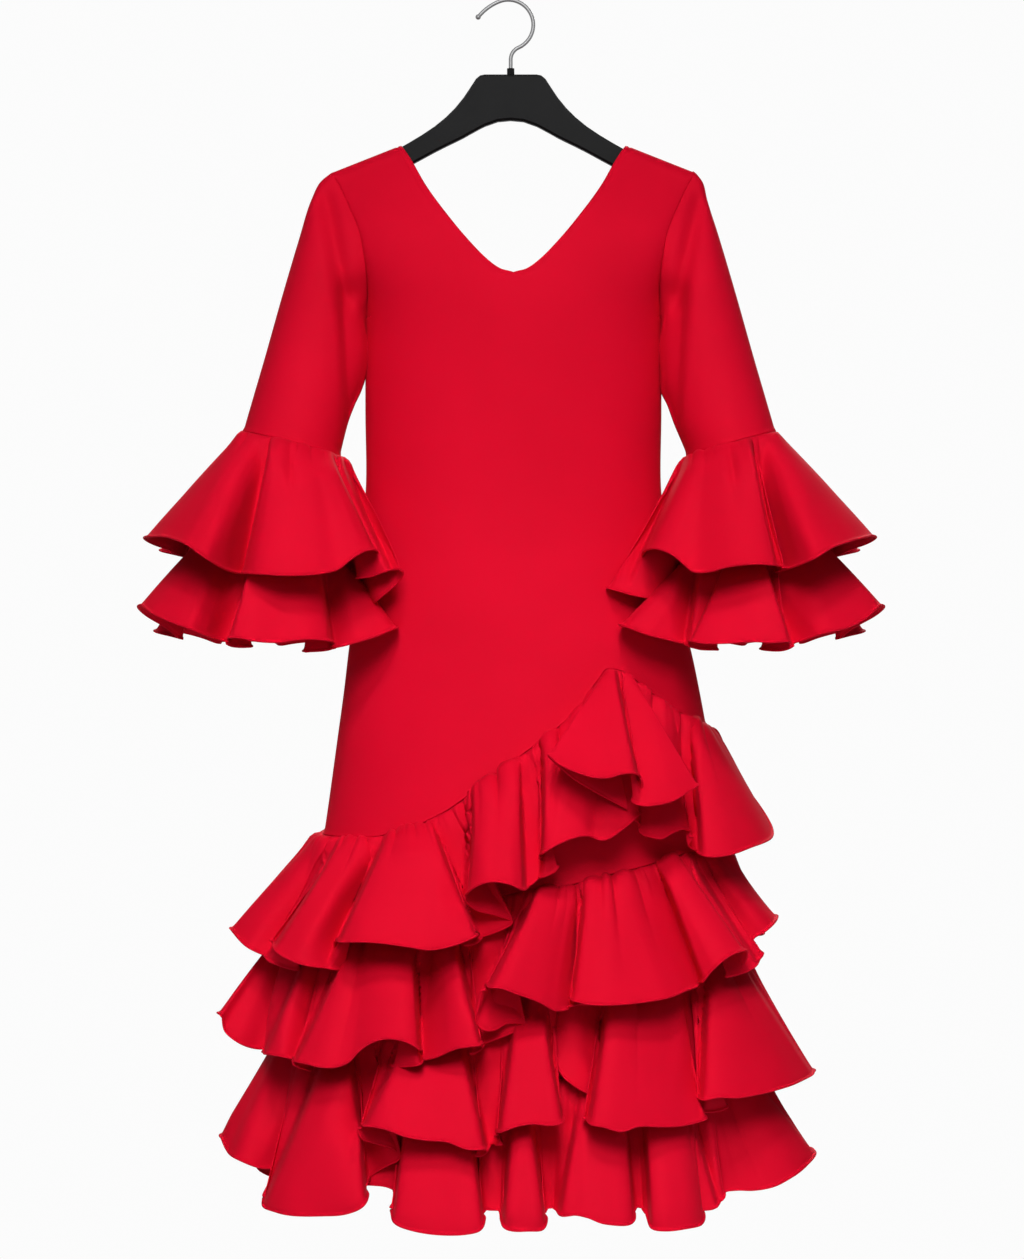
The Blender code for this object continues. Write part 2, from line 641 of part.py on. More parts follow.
def build_collar():
    bore, radius, height = COLLAR
    foot = HANGER[0][1] + GAP
    section = ((bore, foot), (radius, foot), (radius, foot + height), (bore, foot + height))
    turns = np.radians(np.arange(COLLAR_SIDES) * 360 / COLLAR_SIDES)
    rings = [
        [(HANGER_MIDDLE + reach * math.cos(a), reach * math.sin(a), level) for a in turns]
        for reach, level in (*section, section[0])
    ]
    data = mesh_of("collar", [np.array(rings)], closed=True)
    add_object("collar", data, HANGER_FINISH)


def build_hook():
    """Shank, bend, round and open end in one line, from the hanger's top to the ball."""
    beside = HOOK_RADIUS + HOOK_BEND
    bend_x = HANGER_MIDDLE + HOOK_BEND
    first = math.degrees(math.acos((bend_x - HOOK_MIDDLE[0]) / beside))
    bend_middle = (bend_x, HOOK_MIDDLE[1] - beside * math.sin(math.radians(first)))
    in_bend, in_round, in_tail = HOOK_STEPS
    line = [(HANGER_MIDDLE, HANGER[0][1] + GAP), (HANGER_MIDDLE, bend_middle[1] - HOOK_BEND / 2)]
    line += arc(bend_middle, HOOK_BEND, 180, 180 - first, in_bend)
    line += arc(HOOK_MIDDLE, HOOK_RADIUS, -first, HOOK_LAST, in_round)[1:]
    length, radius = HOOK_TAIL
    turn = math.radians(HOOK_LAST)
    inward = HOOK_RADIUS - radius
    middle = (
        HOOK_MIDDLE[0] + inward * math.cos(turn),
        HOOK_MIDDLE[1] + inward * math.sin(turn),
    )
    line += arc(middle, radius, HOOK_LAST, HOOK_LAST + math.degrees(length / radius), in_tail)[1:]
    tip, before = np.array(line[-1]), np.array(line[-2])
    ahead = (tip - before) / np.linalg.norm(tip - before)
    radii = [WIRE] * len(line) + [HOOK_BALL * share for _, share in HOOK_BALL_SHAPE]
    line += [tuple(tip + ahead * HOOK_BALL * reach) for reach, _ in HOOK_BALL_SHAPE]
    data = mesh_of("hook", [tube(line, radii, HOOK_SIDES)], closed=True, capped=True)
    add_object("hook", data, HOOK_FINISH)


def clear_scene():
    for old in list(bpy.data.objects):
        bpy.data.objects.remove(old, do_unlink=True)


def main():
    clear_scene()
    build_bodice()
    build_foundation()
    build_tiers()
    build_flounce()
    build_sleeves()
    build_sleeve_ruffles()
    build_hanger()
    build_collar()
    build_hook()


main()
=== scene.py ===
"""Looks of the flamenco dress: fine cloth on the frame's own forms, its hanger, light and camera.

Tables and functions that shape the cloth are those of the part, in millimetres and degrees.
An angle runs round the garment from 0 at the front, through 90 at +X.
"""

import math

import bpy
import numpy as np
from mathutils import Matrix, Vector


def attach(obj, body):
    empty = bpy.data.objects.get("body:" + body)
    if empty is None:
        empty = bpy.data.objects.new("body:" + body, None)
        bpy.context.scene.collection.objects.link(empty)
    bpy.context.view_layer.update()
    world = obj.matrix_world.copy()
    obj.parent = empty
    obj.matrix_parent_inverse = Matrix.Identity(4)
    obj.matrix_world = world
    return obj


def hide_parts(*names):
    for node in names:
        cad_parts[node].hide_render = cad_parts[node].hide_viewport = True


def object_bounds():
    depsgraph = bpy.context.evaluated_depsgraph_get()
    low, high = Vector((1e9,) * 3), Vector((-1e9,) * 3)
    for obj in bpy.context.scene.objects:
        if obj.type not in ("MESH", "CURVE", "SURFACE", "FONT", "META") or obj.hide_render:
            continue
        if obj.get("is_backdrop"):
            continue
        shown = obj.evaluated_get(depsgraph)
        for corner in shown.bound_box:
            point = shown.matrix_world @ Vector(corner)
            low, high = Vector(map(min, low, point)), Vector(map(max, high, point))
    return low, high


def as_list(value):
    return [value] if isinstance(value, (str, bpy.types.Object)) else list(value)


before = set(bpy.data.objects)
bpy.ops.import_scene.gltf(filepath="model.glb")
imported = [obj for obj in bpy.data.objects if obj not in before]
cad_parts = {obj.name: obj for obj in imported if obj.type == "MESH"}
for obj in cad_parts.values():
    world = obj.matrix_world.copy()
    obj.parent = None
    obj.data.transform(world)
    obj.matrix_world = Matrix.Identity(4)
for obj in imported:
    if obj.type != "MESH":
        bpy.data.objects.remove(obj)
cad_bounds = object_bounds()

MM = 0.001
WALL = 0.9  # the cloth
SEAM_HALF = 0.06  # the front and the back each stop this far from the plane between them
SEAM_GAP = 0.5  # a ruffle starts this far below its seam's line
FAR = 1e3  # further from an edge than any sewing reaches
WELD_DIGITS = 4  # points that are the same to this many decimals are welded

# ---------- sizes of the bodice
MIDDLE = 1.6  # the dress hangs this far to +X of the hook
SHOULDER_TIP = (196.0, -185.0)  # half width and level where the sleeve starts
NECK_POINT = (121.5, -155.5)
UNDERARM = -343.0
RIDGE = 12.0  # the cloth's round over the hanger
ROLL = 130.0  # depth below the shoulder seam at which the bodice has filled out
ARMHOLE_DEPTH = 48.0  # the armhole's half depth
ARMHOLE_POWER = 0.75  # under 1, its outline is rounder at its two ends
SOFT_STEPS = np.linspace(-22, 22, 12)  # its round fades over this much height inside the panel
EDGE_POWER = 90  # and is exact at the panel's edge

NECKLINE = [  # level, half width of the V at the front, and at the back
    (-155.5, 121.5, 121.5),
    (-172, 111, 112),
    (-206, 92.5, 95),
    (-245, 65, 69),
    (-270, 44, 50),
    (-288, 26, 34),
    (-297, 13, 23),
    (-301, 0, 16),
    (-310, 0, 0),
]
ARMHOLE = [  # level, half width of the bodice at the armhole seam
    (-185, 196),
    (-200, 187),
    (-218, 178.5),
    (-262, 162),
    (-315, 155.5),
    (-343, 158.5),
]
GIRTH = [  # level, then the reach to -X, +X, the front and the back from the body's axis
    (-150, 196, 199, 60, 56),
    (-343, 158, 161, 84, 78),
    (-442, 158, 161, 80, 74),
    (-506, 157, 160, 79, 74),
    (-593, 163, 168, 86, 84),
    (-647, 169, 178, 93, 95),
    (-701, 176, 193, 100, 104),
    (-744, 181, 202, 105, 110),
    (-788, 187, 210, 110, 115),
    (-895, 202, 226, 122, 126),
    (-1000, 220, 236, 136, 138),
    (-1100, 234, 248, 148, 150),
    (-1200, 246, 258, 160, 162),
]

# ---------- sizes of the sleeves
SLEEVE = [  # outer x and level, inner x and level, middle y, half depth; for the sleeve at -X
    (-207, -195.5, -160.8, -354, -1, 50),
    (-216, -214, -160.8, -368, -2, 53),
    (-229, -257, -161, -397, -6, 55),
    (-247, -320, -164, -420, -12, 56),
    (-265, -386, -170, -437, -18, 56),
    (-278, -432, -177, -458, -22, 57),
]
CUFF_GIRTH = [  # level, middle x, middle y, half width, half depth; for the sleeve at -X
    (-450, -230, -24, 54, 57),
    (-478, -236, -25, 54, 58),
    (-530, -248, -27, 54, 59),
    (-585, -259, -29, 55, 60),
    (-640, -264, -30, 56, 61),
    (-700, -268, -30, 56, 62),
]
# For each ruffle, the level of its seam, and the seam's rise at the outer side.
CUFF_SEAMS = {"upper": (-478.5, 13), "lower": (-570, 9)}
CUFF_ENDS = [(-478.5, 13), (-530, 11), (-581, 9)]  # the same for the sleeve's last rings
ARMHOLE_GAP = (0.7, 1.7)  # from the bodice's edge to the sleeve's, at the shoulder and the underarm
RIGHT_SLIMMER = 9.0  # the other sleeve is this much narrower, on its outer side
RIGHT_NEARER = 0.6  # and this share of it nearer the body, above the cuff
ARMHOLE_SHARE = 0.7  # share of the armhole's own outline that the sleeve's first ring keeps
ARMHOLE_FADE = 0.35  # and how much of it goes with each ring after that
PRESS = 7.0  # a sleeve's inner side leans this far towards the body, and is stopped at it
PRESS_LEVEL = -380.0  # round this level
PRESS_REACH = 34.0
PRESS_START = -196.0  # from this x, and wholly after this width
PRESS_WIDTH = 30.0
CLEAR = 1.3  # between the sleeve's cloth and the body, middle to middle
CLEAR_FROM = 4.0  # from this far above the underarm down

# ---------- seams of the skirt
# Each row is an angle and a level.
SEAM_A = [
    (-90, -898), (-64, -898), (-50, -897), (-37, -889), (-24, -870), (-12.5, -841), (-1, -810),
    (11, -779), (18, -758), (24.5, -732), (29, -719), (34, -721), (44.5, -743), (58, -765),
    (75, -777), (90, -782), (120, -800), (150, -822), (180, -845), (210, -866), (240, -884),
    (270, -898),
]
SEAM_B = [
    (-90, -970), (-62, -986), (-45, -998), (-25, -992), (-12, -964), (0, -950), (11, -945),
    (22, -935), (32, -928), (54, -914), (90, -911), (129, -922), (156, -934), (183, -946),
    (211, -956), (240, -964), (270, -970),
]
SEAM_C = [
    (-90, -1104), (-50, -1106), (-25, -1088), (-8, -1060), (4, -1044), (24, -1040), (40, -1028),
    (55, -1012), (85, -1000), (106, -1006), (132, -1023), (158, -1042), (184, -1061), (210, -1080),
    (236, -1094), (270, -1104),
]
SEAM_D = [
    (-90, -1188), (-60, -1192), (-35, -1178), (-20, -1156), (0, -1143), (30, -1138), (60, -1128),
    (90, -1122), (130, -1137), (160, -1154), (186, -1168), (212, -1180), (240, -1187), (270, -1188),
]
SEAMS = (SEAM_A, SEAM_B, SEAM_C, SEAM_D)

# ---------- folds
# Behind its drawn hem a ruffle has plain folds. Each row is a turn of the hem: its angle, its reach
# off the foundation, its level, and how far the cloth after it curls under. Crests and hollows take
# turns, and the last is a hollow. A sleeve's rows are for the sleeve at -X, with 90 degrees beside
# the body.
BACK_TURNS = {
    "tier_a": [
        (94, 36, -862, 0.4), (114, 56, -898, 0.4), (124, 34, -932, 0.7), (135, 76, -942, 0.6),
        (147, 34, -962, 0.9), (158, 70, -962, 0.4), (171, 34, -980, 0.6), (184, 78, -982, 0.8),
        (198, 34, -999, 0.8), (212, 72, -1001, 0.5), (226, 34, -1018, 0.6), (241, 78, -1016, 0.4),
        (257, 32, -1032, 0.8),
    ],
    "tier_b": [
        (99, 26, -996, 0.5), (118, 58, -1018, 0.5), (128, 34, -1036, 0.7), (139, 74, -1040, 0.5),
        (150, 34, -1054, 0.6), (161, 72, -1060, 0.7), (173, 34, -1074, 0.8), (185, 78, -1080, 0.4),
        (199, 34, -1094, 0.5), (212, 72, -1098, 0.6), (226, 34, -1112, 0.7), (241, 76, -1112, 0.4),
        (258, 32, -1126, 0.6),
    ],
    "tier_c": [
        (97, 30, -1164, 0.5), (114, 62, -1150, 0.5), (125, 34, -1166, 0.7), (137, 76, -1162, 0.6),
        (149, 34, -1178, 0.5), (161, 70, -1178, 0.5), (174, 34, -1194, 0.8), (188, 78, -1196, 0.4),
        (201, 34, -1212, 0.6), (214, 72, -1212, 0.6), (227, 34, -1228, 0.7), (241, 74, -1226, 0.4),
        (258, 34, -1244, 0.5),
    ],
    "tier_d": [
        (92, 34, -1240, 0.4), (106, 56, -1244, 0.4), (118, 34, -1254, 0.6), (131, 72, -1256, 0.5),
        (143, 34, -1262, 0.5), (156, 68, -1262, 0.4), (169, 34, -1268, 0.7), (182, 74, -1266, 0.5),
        (195, 34, -1272, 0.5), (208, 60, -1268, 0.4), (222, 32, -1270, 0.3), (236, 44, -1258, 0.2),
        (252, 26, -1256, 0.0),
    ],
    "ruffle_left_upper": [
        (104, 34, -640, 0.0), (122, 28, -640, 0.5), (150, 72, -620, 0.3), (170, 34, -626, 0.5),
        (192, 84, -608, 0.3), (214, 34, -612, 0.5), (238, 84, -592, 0.4), (258, 38, -600, 0.8),
    ],
    "ruffle_left_lower": [
        (104, 30, -692, 0.0), (122, 24, -692, 0.3), (150, 66, -692, 0.2), (170, 30, -696, 0.5),
        (194, 78, -692, 0.3), (216, 32, -694, 0.5), (240, 80, -680, 0.3), (260, 34, -688, 0.5),
    ],
    "ruffle_right_upper": [
        (102, 26, -646, 0.0), (122, 26, -642, 0.5), (150, 72, -622, 0.3), (170, 34, -626, 0.5),
        (192, 84, -608, 0.3), (214, 34, -612, 0.5), (238, 84, -592, 0.4), (258, 38, -600, 0.8),
    ],
    "ruffle_right_lower": [
        (102, 18, -692, 0.0), (122, 20, -692, 0.3), (150, 66, -692, 0.2), (170, 30, -696, 0.5),
        (194, 78, -692, 0.3), (216, 32, -694, 0.5), (240, 80, -680, 0.3), (260, 34, -688, 0.5),
    ],
}
# The angle of the crest at which a drawn hem begins.
FIRST_AT = {
    "tier_a": -86, "tier_b": -86, "tier_c": -86, "tier_d": -80,
    "ruffle_left_upper": -78, "ruffle_left_lower": -80,
    "ruffle_right_upper": -80, "ruffle_right_lower": -80,
}
BROAD = 0.2  # share of a fold's width that its crest takes from the hollow beside it
CURL_GAIN = 1.2
ROUND_DROP = 0.85  # how far the hem's fall gathers at the two turns of a curl
ROUND_CURL = 2.4  # and the curl from which it does so fully
LEAN_SKIRT = 9.0  # degrees by which a fold's root is turned aside from its hem
LEAN_CUFF = 5.0
LEAN_POWER = 0.9  # how a fold passes from its root's angle to its hem's
CURL_POWER = 1.6  # and how its curl grows on the way
SPREAD_SKIRT = 0.85  # under 1, a ruffle stands out sooner below its seam
SPREAD_CUFF = 0.97
TIER_LIFTS = (0.1, 1.0, 1.0, 1.0)  # how far each tier's seam stands off the foundation
CUFF_LIFT = 1.0
FLOUNCE_LIFT = [  # root angle, and how far the flounce's seam stands off the foundation there
    (24.8, 3.8), (26.5, 7), (28.5, 9), (30.5, 9.2), (32.3, 8.5), (34.8, 7), (38, 4.5),
]
FLOUNCE_PLAIN = [  # root angle, and the flounce's reach well above its hem
    (24.8, 58), (26.5, 78), (29.5, 100), (33.5, 100), (38, 86),
]
PLAIN_POWER = 4  # how late that reach gives way to the hem's own

# ---------- the hook
HANGER_MIDDLE = -1.4
PLATE_TOP = -78.8  # level of the hanger's plate
FOOT = (0.3, 3.0)  # the wire's first two rings are this far above it
WIRE = 2.1
WIRE_SIDES = 24
HOOK_MIDDLE = (-4.0, -24.6)
HOOK_RADIUS = 27.0
HOOK_LAST = 112.0  # where the round ends, in degrees from +X towards +Z
HOOK_BEND = 14.0  # radius of the bend from the shank into the round
HOOK_TAIL = (26.0, 55.0)  # length and radius of the open end
HOOK_COUNTS = (16, 60, 14)  # points along the bend, the round and the open end
HOOK_BALL = 2.9
BALL_RINGS = (-45, 84, 14)  # the ball's first and last ring, in degrees, and how many
BALL_SINK = 0.25  # how far the wire goes into it, in ball radii

# ---------- how finely the cloth is drawn
HALF_WAVE = 24  # columns from a crest to a hollow, behind
HEM_STEP = 2.3  # from one column to the next along a drawn hem
RUFFLE_ROWS = 20
ROWS_CROWD = 1.25  # over 1, they are closer together near the seam
HEM_STEPS = (6.0, 4.4, 3.3, 2.5, 1.9, 1.3, 0.8, 0.4, 0.0)  # rows this far above a hem
SIDE_ANGLES = tuple(90 - 1.5 * i for i in range(61))  # columns of a half front or back
YOKE_STEPS = 84  # from the shoulder to the underarm
YOKE_ROWS = tuple(0.5 - 0.5 * math.cos(math.pi * i / YOKE_STEPS) for i in range(YOKE_STEPS + 1))
EDGE_STEPS = (24.0, 14.0, 8.0, 5.0, 3.4, 2.4, 1.6, 1.0, 0.5, 0.0)  # rows this far above a seam
BODICE_LENGTH = 480.0  # from the underarm to the first tier's seam, about
BODICE_STEPS = 44
LOWER_ROWS = (
    *(step / BODICE_LENGTH for step in (1.5, 4.0, 7.5)),
    *(i * (1 - EDGE_STEPS[0] / BODICE_LENGTH) / BODICE_STEPS for i in range(1, BODICE_STEPS + 1)),
    *(1 - step / BODICE_LENGTH for step in EDGE_STEPS[1:]),
)
BAND_COUNT = 12  # rows of the foundation from one seam towards the next
# The foundation's rows just below its upper edge: how far below, and how far out.
TOP_STEPS = ((4.0, -0.6), (6.0, -0.6))
UNDER_STEPS = ((0.5, -0.8), (3.0, -1.9), (6.0, -1.9))  # the same for the rows just under a seam
# Rows of a sleeve, counted in its rings: after the armhole, on the way to each next ring, just
# before the cuff, and after it.
SLEEVE_START = (0, 0.02, 0.04, 0.07, 0.11, 0.17, 0.25, 0.36, 0.5, 0.65, 0.82)
SLEEVE_STEPS = 8
SLEEVE_END = (0, 0.2, 0.4, 0.55, 0.7, 0.8, 0.87, 0.92, 0.955, 0.98)
CUFF_ROWS = (0, 0.015, 0.1, 0.5, 1, 1.5, 1.7, 1.85, 1.935, 1.97, 1.99, 2)

# ---------- sewing
HEM_WIDTH = 2.3  # the rolled hem
HEM_HALF = 1.1  # its half thickness
HEM_FLARE = 2.0  # the hem's stiff edge turns out by this much
HEM_RISE = 3.4  # over this height
LIP_HEIGHT = 1.1  # how far the cloth above a seam stands over the ruffle's top
LIP_WIDTH = 3.2
TUCK = (1.4, 2.6)  # how far an edge turns in at a seam, and how wide the turn is
RUFFLE_TUCK = (1.3, 3.0)  # the same at a ruffle's seam
NECK_TUCK = (0.8, 2.0)
ARMHOLE_TUCK = (1.4, 6.0)
ARMHOLE_UNDER = (3.5, 1.8)  # a sleeve's cloth goes on into the armhole, with rows this far in
UNDERARM_FADE = 26.0  # the side seam's tuck deepens over this far below the underarm
NECK_EDGE = 4.0  # the neck is bound with a narrow edge, sewn this far in
NECK_GROOVE = 0.7
NECK_WIDTH = 1.3
NECK_ROLL = (0.4, 6.0)  # its roll starts this far into a hem's, and ends this far from the edge
GATHERS = [  # spacing along the seam, height, and how far below it they fade
    (9.0, 4.0, 13.0),
    (19.0, 8.0, 32.0),
    (40.0, 11.0, 64.0),
]
CUFF_GATHERS = [
    (9.0, 1.6, 9.0),
    (30.0, 6.0, 24.0),
    (62.0, 3.0, 40.0),
]
FLOUNCE_SEED, CUFF_SEED = 7, 11  # the tiers' chances are 1 to 4
GATHER_WIDTH = 0.4  # the narrowest pucker, against 1.4 for the widest
GATHER_HEIGHT = (0.3, 0.9)  # least share of the height, and what chance adds
GATHER_LONG = (0.45, 1.3)  # the same for the fade
GATHER_START = 7.0  # the puckers rise over this far below the seam
GATHER_FADE = 1.5  # over 1, they end sooner
GATHER_ROUND = 0.6  # under 1, the valleys between puckers are sharp
SIDE_GATHER = 0.3  # how tall they are where the cloth faces sideways
CALM = 0.75  # under the flounce, puckers lose this share of their height
CALM_EDGE = 3.0  # within this many degrees

# ---------- the drawn front
EYE = 3500.0  # the eye is this far in front
EYE_LEVEL = -677.7
HALVINGS = 30  # of the angles among which a seen place is searched
HEM_ROUNDS = 4  # in which a seen level is turned into a level on the garment
STRAIGHT_END = 88.0  # up to this angle a ruffle's folds run straight from seam to hem, as seen
STRAIGHT_FADE = 22.0  # and less and less over this much before it
FACING_FULL = 0.35  # cloth faces the front when its outward unit's share that way reaches this
CREASE = ("x1", "z1", "x2", "z2", "height", "left", "right")
CREASE_START = 34.0  # a ruffle's creases deepen over this far below its seam
CREASE_END = 18.0  # and fade over this much past their ends
EDGE_TURN = 1.5  # an overlapping edge passes from one side to the other over this much
OVER = 1.5  # the panel on top stands out by this much of an edge's height
DIVE = 1.9  # and the one beneath goes in by this much
DIVE_SPREAD = 1.8  # over this much of the edge's width
DIVE_POWER = 1.4
DIVE_FADE = 0.5  # past this share of the ruffle's drop it goes in less
DIVE_AT_HEM = 0.6  # down to this share
DIVE_CLEAR = 6.0  # a dive stays this far off the skirt or the sleeve
# A hem's line as it is seen from the front: x and level, reach off the foundation, and for some
# points the x at which that point's cloth leaves the seam. From -X to +X, or on a sleeve from its
# outer side.
HEMS = {
    "tier_a": [
        (-303, -1003, 84), (-270, -1031, 62), (-240, -1042, 42), (-231, -1044, 36),
        (-246, -1031, 52), (-259, -1016, 66, -180), (-242, -1031, 78), (-218, -1041, 76),
        (-197, -1044, 58), (-181, -1042, 38), (-188, -1030, 48), (-190, -1016, 62, -134),
        (-176, -1014, 74), (-143, -1016, 84), (-112, -1021, 86), (-89, -1024, 82), (-58, -1017, 72),
        (-37, -1008, 62, -89), (-49, -1017, 48), (-32, -1013, 38), (2, -993, 32), (-17, -986, 42),
        (-39, -980, 54), (-49, -969, 66, -37), (-41, -958, 76), (-24, -951, 84), (-4, -953, 80),
        (12, -959, 64, 2), (30, -948, 44), (48, -934, 34), (38, -931, 42), (31, -924, 52, 31),
        (38, -917, 58), (52, -909, 62), (78, -902, 62), (97, -907, 60), (119, -895, 56),
        (136, -878, 48, 108), (129, -881, 38), (138, -891, 33), (141, -899, 40, 138),
        (150, -903, 50), (160, -905, 54), (172, -899, 52), (184, -895, 52), (194, -903, 46, 168),
        (189, -912, 40), (197, -918, 40), (214, -922, 54, 197), (233, -921, 66), (257, -914, 72),
        (280, -895, 58, 208),
    ],
    "tier_b": [
        (-315, -1095, 86), (-312, -1110, 80), (-298, -1123, 66), (-281, -1131, 48),
        (-264, -1135, 36), (-268, -1135, 56, -227), (-258, -1136, 68), (-242, -1142, 72),
        (-229, -1148, 62), (-218, -1152, 40), (-229, -1147, 46), (-235, -1142, 62, -185),
        (-220, -1145, 76), (-203, -1150, 84), (-186, -1150, 84), (-174, -1145, 84),
        (-163, -1134, 84), (-150, -1125, 84), (-132, -1120, 82), (-116, -1122, 78),
        (-104, -1128, 70), (-99, -1134, 60, -108), (-107, -1143, 48), (-127, -1149, 38),
        (-105, -1147, 56), (-82, -1142, 70), (-58, -1130, 72), (-33, -1126, 62, -52),
        (-43, -1134, 46), (-24, -1125, 36), (15, -1105, 34), (-6, -1104, 44), (-19, -1111, 50),
        (-29, -1111, 54), (-37, -1104, 58), (-35, -1086, 64), (-29, -1066, 72, 29),
        (-15, -1064, 80), (6, -1072, 84), (30, -1082, 82), (44, -1090, 74), (58, -1090, 62, 65),
        (70, -1082, 44), (80, -1082, 38), (64, -1077, 54, 76), (80, -1082, 70), (106, -1084, 84),
        (138, -1082, 86), (168, -1077, 82), (188, -1070, 72), (203, -1063, 60, 149),
        (211, -1050, 66), (219, -1041, 76), (233, -1030, 84), (251, -1025, 84, 177),
        (251, -1037, 70), (243, -1047, 58), (232, -1051, 50), (246, -1048, 52), (261, -1041, 60),
        (271, -1031, 62, 197), (265, -1024, 50), (261, -1014, 46), (274, -1004, 56),
        (286, -990, 55, 205),
    ],
    "tier_c": [
        (-313, -1228, 69), (-307, -1241, 68), (-292, -1252, 66), (-272, -1260, 50),
        (-255, -1264, 38), (-261, -1277, 50), (-268, -1292, 64, -222), (-252, -1304, 78),
        (-229, -1309, 84), (-203, -1310, 86), (-179, -1307, 82), (-163, -1299, 72),
        (-157, -1290, 60, -167), (-160, -1279, 48), (-150, -1269, 38), (-133, -1257, 34),
        (-119, -1247, 32), (-127, -1239, 42), (-147, -1233, 52), (-161, -1228, 62),
        (-165, -1218, 68, -132), (-157, -1214, 76), (-137, -1216, 82), (-116, -1225, 84),
        (-92, -1230, 84), (-70, -1231, 80), (-51, -1237, 74), (-30, -1238, 62, -51),
        (-37, -1244, 48), (-24, -1239, 38), (-13, -1233, 44), (-17, -1224, 58, -1), (0, -1215, 70),
        (22, -1212, 76), (39, -1212, 72), (54, -1207, 60, 39), (46, -1192, 46), (40, -1169, 38),
        (46, -1149, 34, 58), (56, -1164, 38), (70, -1176, 42), (85, -1187, 44), (84, -1199, 50),
        (77, -1207, 60, 102), (97, -1212, 76), (119, -1219, 84), (135, -1215, 84), (158, -1216, 82),
        (184, -1215, 74), (208, -1206, 62, 170), (203, -1200, 48), (217, -1198, 42),
        (231, -1193, 38), (216, -1191, 46), (201, -1187, 58, 199), (216, -1182, 68),
        (244, -1183, 80), (268, -1180, 86), (294, -1173, 86), (314, -1164, 80),
        (326, -1155, 75, 227),
    ],
    "tier_d": [
        (-180, -1283, 28, -175), (-151, -1279, 30), (-133, -1283, 34), (-123, -1291, 40),
        (-130, -1304, 58, -116), (-124, -1317, 72), (-109, -1325, 80), (-82, -1331, 86),
        (-52, -1329, 82), (-35, -1323, 70), (-31, -1314, 58, -43), (-35, -1308, 44),
        (-25, -1308, 35), (-13, -1309, 36), (-10, -1317, 52, -1), (-6, -1324, 64), (6, -1328, 74),
        (19, -1327, 74), (32, -1324, 64), (36, -1315, 54, 23), (33, -1308, 42), (44, -1306, 36),
        (52, -1309, 52, 62), (67, -1308, 60), (81, -1312, 72), (97, -1319, 80), (113, -1320, 76),
        (127, -1317, 66), (131, -1310, 54, 119), (129, -1305, 42), (141, -1305, 36),
        (147, -1312, 52, 138), (152, -1323, 66), (168, -1327, 80), (189, -1325, 82),
        (204, -1319, 68), (206, -1310, 56, 184), (204, -1304, 46), (216, -1301, 48),
        (226, -1298, 54), (228, -1292, 48, 206), (229, -1287, 38), (243, -1284, 38),
        (261, -1284, 48), (282, -1280, 60), (301, -1270, 70), (319, -1255, 73),
        (326, -1243, 70, 225),
    ],
    "ruffle_left_upper": [
        (-392, -579, 82), (-367, -581, 88), (-348, -589, 94), (-330, -602, 92), (-318, -610, 80),
        (-305, -616, 56), (-292, -618, 32, -259), (-276, -619, 64), (-240, -621, 88),
        (-207, -619, 94), (-185, -613, 90), (-172, -603, 90), (-158, -595, 90),
        (-146, -596, 86, -199), (-148, -606, 78), (-158, -617, 56), (-165, -623, 62),
        (-151, -621, 76), (-136, -616, 94), (-120, -615, 114, -185), (-123, -625, 104),
        (-143, -643, 84),
    ],
    "ruffle_left_lower": [
        (-399, -653, 82), (-382, -665, 84), (-365, -672, 82), (-348, -678, 74), (-334, -684, 56),
        (-320, -689, 38), (-298, -696, 34), (-282, -697, 38), (-296, -692, 48),
        (-308, -689, 60, -266), (-293, -688, 70), (-274, -692, 78), (-251, -693, 80),
        (-229, -690, 80), (-210, -690, 76), (-194, -694, 66, -214), (-208, -700, 50),
        (-224, -702, 40), (-207, -701, 46), (-186, -698, 62), (-164, -692, 78), (-147, -687, 90),
        (-133, -681, 98),
    ],
    "ruffle_right_upper": [
        (387, -578, 84), (361, -585, 92), (342, -592, 94), (326, -602, 92), (313, -608, 80),
        (300, -613, 56), (286, -616, 32), (294, -612, 50, 258), (279, -610, 74), (260, -609, 84),
        (232, -612, 90), (213, -617, 90), (193, -616, 90), (183, -608, 92), (172, -599, 94),
        (157, -593, 94), (145, -594, 90, 192), (143, -603, 76), (149, -613, 62), (161, -623, 50),
        (170, -633, 42), (165, -643, 56), (149, -645, 78), (130, -642, 98), (112, -637, 114, 181),
    ],
    "ruffle_right_lower": [
        (397, -653, 86), (383, -666, 82), (362, -677, 76), (336, -683, 64), (312, -692, 50),
        (289, -700, 40), (269, -700, 36), (282, -697, 46), (296, -692, 60), (279, -693, 72),
        (257, -692, 80), (232, -694, 82), (208, -694, 80), (192, -692, 70), (202, -699, 52),
        (220, -700, 40), (203, -699, 48), (184, -694, 66), (160, -688, 88), (144, -684, 104),
        (130, -679, 114),
    ],
    "apex_flounce": [
        (126, -872, 58, 93), (89, -852, 64), (65, -837, 70), (40, -815, 78, 96), (49, -824, 90),
        (68, -833, 100), (89, -839, 104), (105, -839, 104), (118, -835, 102), (130, -834, 100),
        (138, -840, 92), (138, -851, 82), (131, -863, 78), (139, -868, 86), (154, -869, 98),
        (172, -865, 100), (188, -856, 94), (201, -847, 86, 125),
    ],
}
